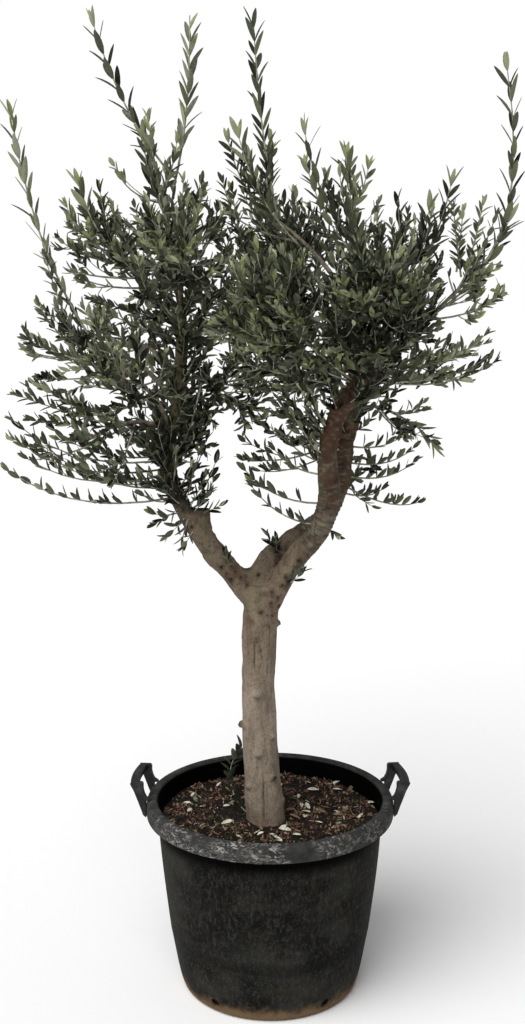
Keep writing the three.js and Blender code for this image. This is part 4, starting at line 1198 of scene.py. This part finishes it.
LEAF_STATIONS = np.array([0.1, 0.3, 0.52, 0.75, 0.92])
LEAF_HALF_WIDTHS = np.array([0.42, 0.9, 1.0, 0.8, 0.4])
TIP_LEAVES = {"slants": (6, 18, 30), "grown": (0.8, 0.86, 0.95)}  # of the last three leaf pairs
LEAF_THICKNESS = 0.45  # at the rib
GAP = {"wide": 54, "small": 23, "samples": 20000}
SHADED = {"below": 1280, "tone": 0.66}  # the low twigs are in the shade, and their leaves darker
CLEAR = {"tip": 3, "middle": 2}  # how far from the bark a leaf's tip and middle stay


class Leaves:
    """Many leaves at once: foot, way, upper side, length, width, owner, tone, youth and kind.

    The last four are 0 where they are left out.
    """

    keys = ("foot", "way", "face", "length", "width", "owner", "tone", "young", "kind")

    def __init__(self, **values):
        for key in self.keys:
            setattr(self, key, values[key] if key in values else np.zeros(len(values["length"])))

    def only(self, keep):
        return Leaves(**{key: getattr(self, key)[keep] for key in self.keys})


def leaves_on(twigs, rises):
    """Opposite pairs from the tip down, each turned a quarter from the last, and one at the tip."""
    lengths = twigs.lengths()
    size, width, gap, slant, bare = (np.array(column, float)[twigs.kind] for column in zip(*KINDS))
    found = {key: [] for key in Leaves.keys}
    for step in range(-1, int((lengths / gap).max()) + 1):
        share = 1 - (max(step, 0) + 0.02) * gap / np.maximum(lengths, 1)
        here = np.flatnonzero(share > bare)
        if not len(here):
            break
        held = twigs.only(here)
        foot, along = held.at(share[here]), held.along(share[here])
        aside, across = perpendicular(along)
        level = 1 - np.abs(along[:, 2:])
        stand = np.where(held.kind == COMB, 1.7, 1.15 - 0.6 * rises[held.owner])[:, None] * level
        count = len(here)
        for side in ((0,) if step < 0 else (0, 1)):
            turn = (held.turn + math.pi * (side + 0.5 * step) + rng.normal(0, 0.3, count))[:, None]
            out = unit(aside * np.cos(turn) + across * np.sin(turn) + UP * stand)
            last = step + 1 < len(TIP_LEAVES["slants"])
            lean = np.full(count, TIP_LEAVES["slants"][step + 1]) if last else slant[here]
            lean = np.radians(lean * rng.uniform(0.7, 1.3, count))[:, None]
            way = unit(along * np.cos(lean) + out * np.sin(lean))
            face = along * np.sin(lean) - out * np.cos(lean) + UP * 0.5 * level
            face = face - way * (face * way).sum(1, keepdims=True)
            grown = TIP_LEAVES["grown"][step + 1] if last else 1.0
            found["foot"].append(foot)
            found["way"].append(way)
            found["face"].append(unit(face + rng.normal(0, 0.18, face.shape)))
            found["length"].append(size[here] * grown * rng.uniform(0.8, 1.15, count))
            found["width"].append(width[here] * rng.uniform(0.85, 1.15, count))
            found["owner"].append(held.owner)
            found["tone"].append(np.clip(held.tone + rng.normal(0, 0.22, count), 0, 1))
            found["kind"].append(held.kind)
            pale = np.where(held.kind == TALL, rises[held.owner] ** 3, 0.12)
            pale[held.kind == LONG] = 1.0
            found["young"].append(pale * (step < 1))
    return Leaves(**{key: np.concatenate(value) for key, value in found.items()})


def in_gaps(points, full):
    """True where light shows through the crown.

    The gaps run through it along the front view's lines of sight: each point is carried to the
    plane y = 0 on its line, and lies in a gap where smooth noise there is above a level, set so
    that the share `full` of that plane is covered.
    """
    eye = np.array(CAMERA["at"]) / MM
    flat = eye + (points - eye) * (eye[1] / (eye[1] - points[:, 1]))[:, None]
    flat = flat * (1, 0, 1)

    def pattern(places):
        return 0.62 * noise(places, GAP["wide"], 51) + 0.38 * noise(places, GAP["small"], 52)

    samples = pattern(rng.uniform(-900, 900, (GAP["samples"], 3)) * (1, 0, 1))
    return pattern(flat) > np.quantile(samples, np.clip(full, 0, 1))


def leaf_sides(leaves):
    """The upper and the lower skin of each leaf.

    A point at the share s along the rib and u from rib to edge lies at foot + s times the length
    along the way, + u times half the width across, + the lift of the edge above the rib, - the
    curl, which grows with s squared. The lower skin hangs below the rib and meets the edge.
    """
    count = len(leaves.length)
    across = unit(np.cross(leaves.way, leaves.face))
    face = np.cross(across, leaves.way)
    half = leaves.length * leaves.width / 2
    curl = rng.uniform(-0.04, 0.2, count) * leaves.length
    fold = rng.uniform(0.12, 0.5, count) * half
    stations = np.concatenate([[0], np.repeat(LEAF_STATIONS, 3), [1]])
    widths = np.concatenate([[0], np.outer(LEAF_HALF_WIDTHS, (-1, 0, 1)).ravel(), [0]])
    ribs = np.concatenate([[0], np.tile((0, 1, 0), len(LEAF_STATIONS)), [0]])
    lift = np.abs(widths)[None] * fold[:, None] - stations[None] ** 2 * curl[:, None]
    rib, edge = leaves.length[:, None] * leaves.way, half[:, None] * across
    points = (leaves.foot[:, None] + stations[:, None] * rib[:, None]
              + widths[:, None] * edge[:, None] + lift[..., None] * face[:, None])
    below = points - (LEAF_THICKNESS * ribs[:, None]) * face[:, None]
    rows = len(LEAF_STATIONS)
    body = grid_faces(rows, 3, False) + 1
    last = 3 * rows + 1
    tips = np.array([(0, 2, 1), (0, 3, 2), (last, last - 3, last - 2), (last, last - 2, last - 1)])
    each = last + 1
    upper = [copies(body, count, each), copies(tips, count, each)]
    lower = [faces[:, ::-1] for faces in upper]
    return (points.reshape(-1, 3), upper), (below.reshape(-1, 3), lower)


# Sprays by tone: the share of sprays, and the colours of the upper and the lower side.
TONES = {
    "deep": (0.46, (0.008, 0.010, 0.005), (0.021, 0.025, 0.012), (0.095, 0.108, 0.066)),
    "olive": (0.80, (0.031, 0.037, 0.017), (0.064, 0.073, 0.033), (0.165, 0.182, 0.100)),
    "grey": (0.94, (0.095, 0.105, 0.070), (0.170, 0.182, 0.124), (0.320, 0.338, 0.238)),
    "young": (1.00, (0.140, 0.168, 0.060), (0.260, 0.290, 0.125), (0.380, 0.410, 0.250)),
}


def make_leaves(leaves, nodes):
    """The leaves of each tone, as one piece of upper sides and one of lower sides."""
    tone = np.clip(leaves.tone, 0, 0.999)
    young = rng.uniform(0, 1, len(tone)) < leaves.young
    low = 0.0
    for name, (high, dark, light, under) in TONES.items():
        chosen = (tone >= low) & (tone < high) & ~young
        if name == "young":
            chosen |= young
        low = high
        above, below = leaf_sides(leaves.only(chosen))
        top = leaf_finish("leaf_" + name, dark, light, 0.42, 0.2 if name == "deep" else 0.5)
        back = leaf_finish("leaf_back_" + name, tuple(0.85 * c for c in under), under, 0.75, 0.3)
        piece("leaves_" + name, above, top, nodes)
        piece("leaf_backs_" + name, below, back, nodes)


# ---------------------------------------------------------------- the crown


def covered(spaces, owner, points, kind):
    """How covered the crown is at each point, from 0 to 1: less so far from its mass's heart."""
    far = np.clip(spaces.distance(owner, points), 0, 1.3)
    full = 0.62 + 0.38 * spaces.fulls[owner] * (1.15 - 0.25 * far**2)
    return np.where(np.isin(kind, (LONG, TALL, COMB, WOOD)), 1.0, full)


def grow_twigs(stems, lengths, spaces):
    """All the twigs, less those whose end lies in a gap."""
    groups = {"spread": [], "comb": [], "tall": [], "shoot": []}
    for index, ((name, mass), stem) in enumerate(zip(MASSES.items(), stems)):
        groups["spread"].append(spread_twigs(index, mass, stem))
        if name in SPRAYS:
            groups["comb"].append(level_sprays(index, name))
        groups["tall"].append(tall_twigs(index, mass, stem))
        groups["shoot"].append(long_shoots(index, mass, stem))
    spread = joined(*groups["spread"]).trimmed(spaces, 40)
    tall = joined(*groups["tall"]).trimmed(spaces, 60, SPARE["twig"])
    shoots, combs = joined(*groups["shoot"]), joined(*groups["comb"])
    sprigs = side_twigs(spread, spaces, "spread")
    more = side_twigs(tall, spaces, "tall")
    foot = shoots.only(np.arange(len(shoots.owner)))
    foot.limit = foot.limit * 0.45
    low = side_twigs(foot, spaces, "foot")
    low = low.only(low.curves[:, 0, 2] < (spaces.hearts + 0.3 * spaces.reaches)[low.owner, 2])
    off_combs = side_twigs(combs, spaces, "comb")
    on_wood = wood_sprigs(lengths, spaces)
    twigs = joined(spread, combs, tall, shoots, sprigs, more, low, off_combs, on_wood)
    twigs.tone *= np.where(twigs.curves[:, 2, 2] < SHADED["below"], SHADED["tone"], 1.0)
    ends = twigs.at(np.full(len(twigs.owner), 0.85))
    gaps = in_gaps(ends, covered(spaces, twigs.owner, ends, twigs.kind) * 1.04)
    return twigs.only(~gaps | (twigs.kind == SPREAD))


def grow_leaves(twigs, spaces, timber):
    """The leaves of the twigs, less those in gaps, in the wood or outside their mass."""
    leaves = leaves_on(twigs, spaces.rises)
    tips = leaves.foot + leaves.way * leaves.length[:, None]
    middles = (leaves.foot + tips) / 2
    keep = spaces.allows(leaves.owner, tips, SPARE["leaf"]) | np.isin(leaves.kind, (WOOD, COMB))
    keep &= spaces.in_box(tips) & clear_of_wood(tips, timber, CLEAR["tip"])
    keep &= clear_of_wood(middles, timber, CLEAR["middle"])
    keep &= ~in_gaps(middles, covered(spaces, leaves.owner, middles, leaves.kind))
    return leaves.only(keep)


def make_crown():
    """The bark, the limbs, their twigs and the leaves."""
    wood, lengths = grow_boughs()
    spaces = Spaces()
    limbs, collars, stems = zip(*(grow_limb(mass, lengths) for mass in MASSES.values()))
    make_bark(wood, collars)
    twigs = grow_twigs(stems, lengths, spaces)
    nodes = [name for name in nodes_named("foliage_") if name != SUCKER_NODE]
    make_leaves(grow_leaves(twigs, spaces, [*wood, *limbs]), nodes)

    lines = np.stack([evenly(limb.points, 24) for limb in limbs])
    shape = tubes(lines, np.stack([limb.radii for limb in limbs]), 10)
    brown = twig_finish("limb_bark", (0.085, 0.070, 0.050), (0.225, 0.195, 0.148))
    piece("limbs", shape, brown, nodes_named("limb_"))
    for name, kinds, dark, light in (
        ("twigs_old", (SPREAD, LEVEL, COMB), (0.190, 0.172, 0.135), (0.400, 0.372, 0.305)),
        ("twigs_green", (LONG, TALL, SPRIG, WOOD), (0.205, 0.212, 0.150), (0.420, 0.425, 0.325)),
    ):
        group = twigs.only(np.isin(twigs.kind, kinds))
        thick = group.radius[:, None] * np.linspace(1, THICK["end_share"], RINGS)
        shape = tubes(group.lines(), np.maximum(thick, THICK["least"]), 5)
        piece(name, shape, twig_finish(name, dark, light), nodes)


# ---------------------------------------------------------------- tub

WALL = [(197, 7), (206, 36), (222.3, 131), (223.6, 136), (233.6, 218), (235.4, 232.6), (234.9, 234),
        (235.9, 235.5), (242.2, 297), (241.7, 298.5), (242.6, 300), (250, 397)]
DRAIN = {"count": 5, "turn": 18, "radius": 11, "height": 26, "reach": (188, 222)}
# The edges of a handle: metres for the weld and the width, degrees for what is flat or sharp.
EDGE = {"weld": 0.00002, "flat": 1, "width": 0.0018, "sharp": 28}


def make_tub():
    """The tub as a turned wall with a rolled lip, drain holes, and marks for its finish."""
    inside = [(r - 5, z) for r, z in WALL[::-1] if z > 30 and not 215 < z < 300]
    lip = [(252, 424), (254, 426), (266, 426), (268, 424), (270, 401), (271, 397.5), (273.5, 397.2),
           (274.6, 401), (274.8, 418), (273.5, 428), (269, 433.4), (262, 435), (254, 434.6),
           (250, 431), (248, 422)]
    profile = [(0, 0), (182, 0), (190, 1.5), *WALL, *lip, *inside, (186, 6), (0, 6)]
    points, faces = lathe(rounded(profile, 2), 224)
    sway = noise(points, (150, 150, 110), 21)
    outward = unit(points * (1, 1, 0))
    points = points - outward * (0.9 * (0.5 + 0.5 * sway) * (points[:, 2] > 8))[:, None]
    mesh = new_mesh("tub_shell", points, faces)
    radius = np.linalg.norm(points[:, :2], axis=1)
    on_lip = ramp(radius, 252, 260) * (points[:, 2] > 396)
    on_lip = np.maximum(on_lip, ramp(points[:, 2], 428, 432))
    front = np.clip(-points[:, 1] / 260 + 0.15, 0.12, 1)
    paint(mesh, "lip", on_lip)
    paint(mesh, "lime", on_lip * front)
    shell = piece("tub_shell", mesh, plastic_finish(), ["tub"])
    for i in range(DRAIN["count"]):
        turn = math.radians(DRAIN["turn"] + i * 360 / DRAIN["count"])
        way = np.array([math.cos(turn), math.sin(turn), 0])
        line = np.stack([way * reach for reach in DRAIN["reach"]]) + UP * DRAIN["height"]
        bore = tubes(line[None], np.full((1, 2), DRAIN["radius"]), 20)
        drill = add_object("drill", new_mesh("drill", *bore))
        cut = shell.modifiers.new("hole", "BOOLEAN")
        cut.operation, cut.solver, cut.object = "DIFFERENCE", "EXACT", drill
        bored = modified(shell)
        shell.modifiers.clear()
        shell.data = bored
        bpy.data.objects.remove(drill)


def finish_handles():
    """The handles keep their shape, with moulded edges and the tub's plastic."""
    look = handle_finish()
    for side in ("left", "right"):
        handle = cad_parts["handle_" + side]
        handle.data.materials.clear()
        handle.data.materials.append(look)
        weld = handle.modifiers.new("weld", "WELD")
        weld.merge_threshold = EDGE["weld"]
        flat = handle.modifiers.new("flat", "DECIMATE")
        flat.decimate_type, flat.angle_limit = "DISSOLVE", math.radians(EDGE["flat"])
        edge = handle.modifiers.new("edge", "BEVEL")
        edge.width, edge.segments, edge.limit_method = EDGE["width"], 3, "ANGLE"
        edge.angle_limit = math.radians(EDGE["sharp"])


# ---------------------------------------------------------------- compost, litter and sucker

SOIL_TOP = 398
SOIL_RADIUS = 243
# Loose crumbs: how many, the least and the greatest size, the shape, and a dark and a light colour.
CRUMBS = {
    "crumbs_dark": (2600, (1.2, 3.4), (1.0, 0.8, 0.6), (0.004, 0.003, 0.002),
                    (0.024, 0.015, 0.010)),
    "crumbs_red": (2300, (1.3, 4.6), (1.5, 0.7, 0.4), (0.045, 0.022, 0.013),
                   (0.165, 0.092, 0.058)),
    "chips_tan": (800, (1.2, 4.6), (1.9, 0.55, 0.3), (0.16, 0.105, 0.070), (0.36, 0.27, 0.19)),
    "grit_white": (110, (0.8, 2.0), (1.0, 0.9, 0.8), (0.36, 0.35, 0.32), (0.62, 0.60, 0.56)),
}
# Fallen leaves: how many, their length, how far they crowd to the front, and two colours.
LITTER = {"litter_pale": (46, 26, 0.85, (0.40, 0.40, 0.31), (0.66, 0.66, 0.54)),
          "litter_brown": (34, 25, 0.5, (0.115, 0.075, 0.040), (0.21, 0.155, 0.095)),
          "litter_green": (16, 24, 0.5, (0.10, 0.12, 0.07), (0.19, 0.215, 0.14))}


def soil_height(x, y):
    """The compost's surface: low mounds, crumbs, a rise round the trunk and a dip at the wall."""
    flat = np.stack([x, y, np.zeros_like(x)], axis=-1)
    gap = np.hypot(x + 9, y + 42)
    mounds = 3.2 * noise(flat, 70, 31) + 1.6 * noise(flat, 22, 32) + 1.2 * noise(flat, 7, 33)
    return SOIL_TOP - 4 + mounds + 5 * bell(gap, 75) - 5 * (np.hypot(x, y) / SOIL_RADIUS) ** 8


def make_compost():
    """The compost as a body that fills the tub, its top in mounds."""
    wall = [(r - 5.8, z) for r, z in WALL if 30 < z < 390 and not 215 < z < 300]
    profile = [(0, 6.4), (184, 6.4), *wall, (SOIL_RADIUS, 386)]
    rings = [(r, SOIL_TOP) for r in np.linspace(SOIL_RADIUS, 2, 120)]
    points, faces = lathe(profile + rings + [(0, SOIL_TOP)], 260)
    top = points[:, 2] > SOIL_TOP - 1
    points[top, 2] = soil_height(points[top, 0], points[top, 1])
    # near-black: dark moist compost, and painted shade of the gaps between the crumbs
    look = crumb_finish("compost", (0.002, 0.0015, 0.001), (0.014, 0.008, 0.005))
    piece("compost_body", (points, faces), look, ["compost"])


def stones():
    """A twenty-sided stone: its twelve corners and its faces."""
    golden = (1 + math.sqrt(5)) / 2
    corners = [(0, s, t * golden) for s in (-1, 1) for t in (-1, 1)]
    turned = [(b, c, a) for a, b, c in corners] + [(c, a, b) for a, b, c in corners]
    corners = np.array(corners + turned)
    edge = 2.0
    faces = []
    for i, j, k in combinations(range(12), 3):
        trio = corners[[i, j, k]]
        sides = np.linalg.norm(trio - np.roll(trio, 1, axis=0), axis=1)
        if np.allclose(sides, edge):
            out = np.cross(trio[1] - trio[0], trio[2] - trio[0]) @ trio.mean(axis=0) > 0
            faces.append((i, j, k) if out else (i, k, j))
    return unit(corners), np.array(faces)


def random_turns(count):
    """Random rotations, from unit quaternions."""
    w, x, y, z = unit(rng.normal(size=(count, 4))).T
    rows = [[1 - 2 * (y * y + z * z), 2 * (x * y - w * z), 2 * (x * z + w * y)],
            [2 * (x * y + w * z), 1 - 2 * (x * x + z * z), 2 * (y * z - w * x)],
            [2 * (x * z - w * y), 2 * (y * z + w * x), 1 - 2 * (x * x + y * y)]]
    return np.moveaxis(np.array(rows), -1, 0)


def on_soil(count, crowd=0.0, clump=0.0):
    """Random places on the compost, clear of the trunk, crowded towards the front by `crowd`.

    With `clump` over 0 they gather in clumps, and leave the ground between these bare.
    """
    radius = SOIL_RADIUS * np.sqrt(rng.uniform(0.0, 0.97, count * 3))
    turn = rng.uniform(0, 2 * math.pi, count * 3)
    x, y = radius * np.cos(turn), radius * np.sin(turn)
    thinned = crowd * (y / SOIL_RADIUS + 1) / 2
    keep = (np.hypot(x + 9, y + 42) > 50) & (rng.uniform(0, 1, len(x)) > thinned)
    flat = np.stack([x, y, np.zeros_like(x)], axis=-1)
    keep &= noise(flat, 19, 34) > rng.uniform(-1, 1, len(x)) * 0.5 + 0.4 * clump - 0.5
    x, y = x[keep][:count], y[keep][:count]
    return np.stack([x, y, soil_height(x, y)], axis=1)


def make_crumbs():
    """Loose crumbs and chips of bark on the compost, each kind one piece."""
    corners, faces = stones()
    for name, (count, (small, large), shape, dark, light) in CRUMBS.items():
        places = on_soil(count, clump=float(name != "crumbs_dark"))
        count = len(places)
        size = small + (large - small) * rng.uniform(0, 1, count) ** 2
        uneven = rng.uniform(0.75, 1.25, (count, 12, 3))
        shaped = corners[None] * shape * uneven * size[:, None, None]
        points = np.einsum("nij,nkj->nki", random_turns(count), shaped) + places[:, None]
        points[..., 2] += 0.3 * size[:, None]
        shape = points.reshape(-1, 3), [copies(faces, count, 12)]
        piece(name, shape, crumb_finish(name, dark, light), smooth=False)


def lying(count, length, crowd, tilt, stand):
    """Leaves that lie on the compost at random, more or less tilted, and stand a little off it."""
    places = on_soil(count, crowd)
    count = len(places)
    turn = rng.uniform(0, 2 * math.pi, count)
    way = unit(np.stack([np.cos(turn), np.sin(turn), rng.normal(0, tilt, count)], axis=1))
    face = unit(UP + rng.normal(0, 2 * tilt, (count, 3)))
    size = length * rng.uniform(0.6, 1.15, count)
    places[:, 2] += stand
    return Leaves(foot=places - way * size[:, None] / 2, way=way, face=face, length=size,
                  width=rng.uniform(0.3, 0.46, count))


def make_litter():
    """Fallen leaves, dry and pale, thickest in front of the trunk, and moss at the left front."""
    for name, (count, length, crowd, dark, light) in LITTER.items():
        shape = merged(leaf_sides(lying(count, length, crowd, 0.14, 3.2)))
        piece(name, shape, crumb_finish(name, dark, light, 0.8))
    moss = lying(5200, 6.5, 0.4, 0.7, 1.0)
    patch = noise(moss.foot * (1, 1, 0), 46, 41) + 0.9 * np.exp(
        -(((moss.foot[:, 0] + 105) / 85) ** 2 + ((moss.foot[:, 1] + 95) / 75) ** 2))
    moss = moss.only(patch > 0.42)
    look = crumb_finish("moss", (0.022, 0.032, 0.012), (0.060, 0.078, 0.028))
    piece("moss", leaf_sides(moss)[0], look)


def make_sucker():
    """The thin shoot from the foot of the trunk, with small leaves in pairs."""
    line = smooth_line(SUCKER, 26)
    radii = np.linspace(1.7, 0.7, 26)
    look = twig_finish("sucker_stem", (0.20, 0.21, 0.14), (0.36, 0.37, 0.28))
    piece("sucker_stem", tubes(line[None], radii[None], 7), look, [SUCKER_NODE])
    along = along_line(line)
    feet = np.arange(5, 26, 2).repeat(2)
    aside, across = perpendicular(along[feet])
    turn = (math.pi * np.arange(len(feet)) + 0.7 * (np.arange(len(feet)) // 2))[:, None]
    out = unit(aside * np.cos(turn) + across * np.sin(turn) + (0.0, 0.0, 0.25))
    way = unit(along[feet] * 0.75 + out)
    count = len(feet)
    leaves = Leaves(foot=line[feet], way=way, face=unit(along[feet] - out + 0.4 * UP),
                    length=rng.uniform(22, 28, count) + 0.4 * feet, width=np.full(count, 0.52))
    above, below = leaf_sides(leaves)
    dark, light, under = TONES["deep"][1:]
    top = leaf_finish("sucker_leaf", dark, light, 0.45, 0.2)
    back = leaf_finish("sucker_leaf_back", tuple(0.5 * c for c in under), under, 0.75, 0.2)
    piece("sucker_leaves", above, top, [SUCKER_NODE])
    piece("sucker_leaf_backs", below, back, [SUCKER_NODE])


# ---------------------------------------------------------------- floor, light and camera


def make_stage():
    """A large pale floor."""
    edge = 40
    corners = np.array([(-edge, -edge, 0), (edge, -edge, 0), (edge, edge, 0), (-edge, edge, 0)])
    mesh = new_mesh("floor", corners / MM, [np.array([(0, 1, 2, 3)])])
    floor = add_object("floor", mesh)
    pale = Finish("pale_floor", (0.90, 0.90, 0.90), 0.9, Specular_IOR_Level=0.0)
    mesh.materials.append(pale.look)
    floor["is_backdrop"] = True


def make_light():
    """A white studio: a bright backdrop, dimmer light from all round, and a broad key from above.

    The key is a sun as wide as a soft box, above the tree's front left.
    """
    world = bpy.data.worlds.new("studio")
    world.use_nodes = True
    nodes, links = world.node_tree.nodes, world.node_tree.links
    around = nodes["Background"]
    around.inputs["Strength"].default_value = LIGHT["around"]
    backdrop = nodes.new("ShaderNodeBackground")
    for background in (around, backdrop):
        background.inputs["Color"].default_value = (1, 1, 1, 1)
    seen = nodes.new("ShaderNodeLightPath")
    both = nodes.new("ShaderNodeMixShader")
    links.new(seen.outputs["Is Camera Ray"], both.inputs["Fac"])
    links.new(around.outputs[0], both.inputs[1])
    links.new(backdrop.outputs[0], both.inputs[2])
    links.new(both.outputs[0], nodes["World Output"].inputs["Surface"])
    bpy.context.scene.world = world
    key = bpy.data.lights.new("key", "SUN")
    key.energy, key.angle = LIGHT["key"], math.radians(LIGHT["key_angle"])
    add_object("key", key).rotation_euler = [math.radians(turn) for turn in LIGHT["key_turn"]]
    bpy.context.scene.view_settings.view_transform = "Standard"


def make_camera():
    """The camera in front of the tree, a little above its middle, and tilted down."""
    lens = bpy.data.cameras.new("camera")
    lens.lens, lens.sensor_width = CAMERA["lens"], CAMERA["sensor"]
    camera = add_object("camera", lens)
    camera.location = CAMERA["at"]
    camera.rotation_euler = (math.radians(90 - CAMERA["down"]), 0, 0)
    bpy.context.scene.camera = camera


make_camera()
make_light()
make_stage()
make_tub()
finish_handles()
make_compost()
make_crumbs()
make_litter()
make_sucker()
make_crown()
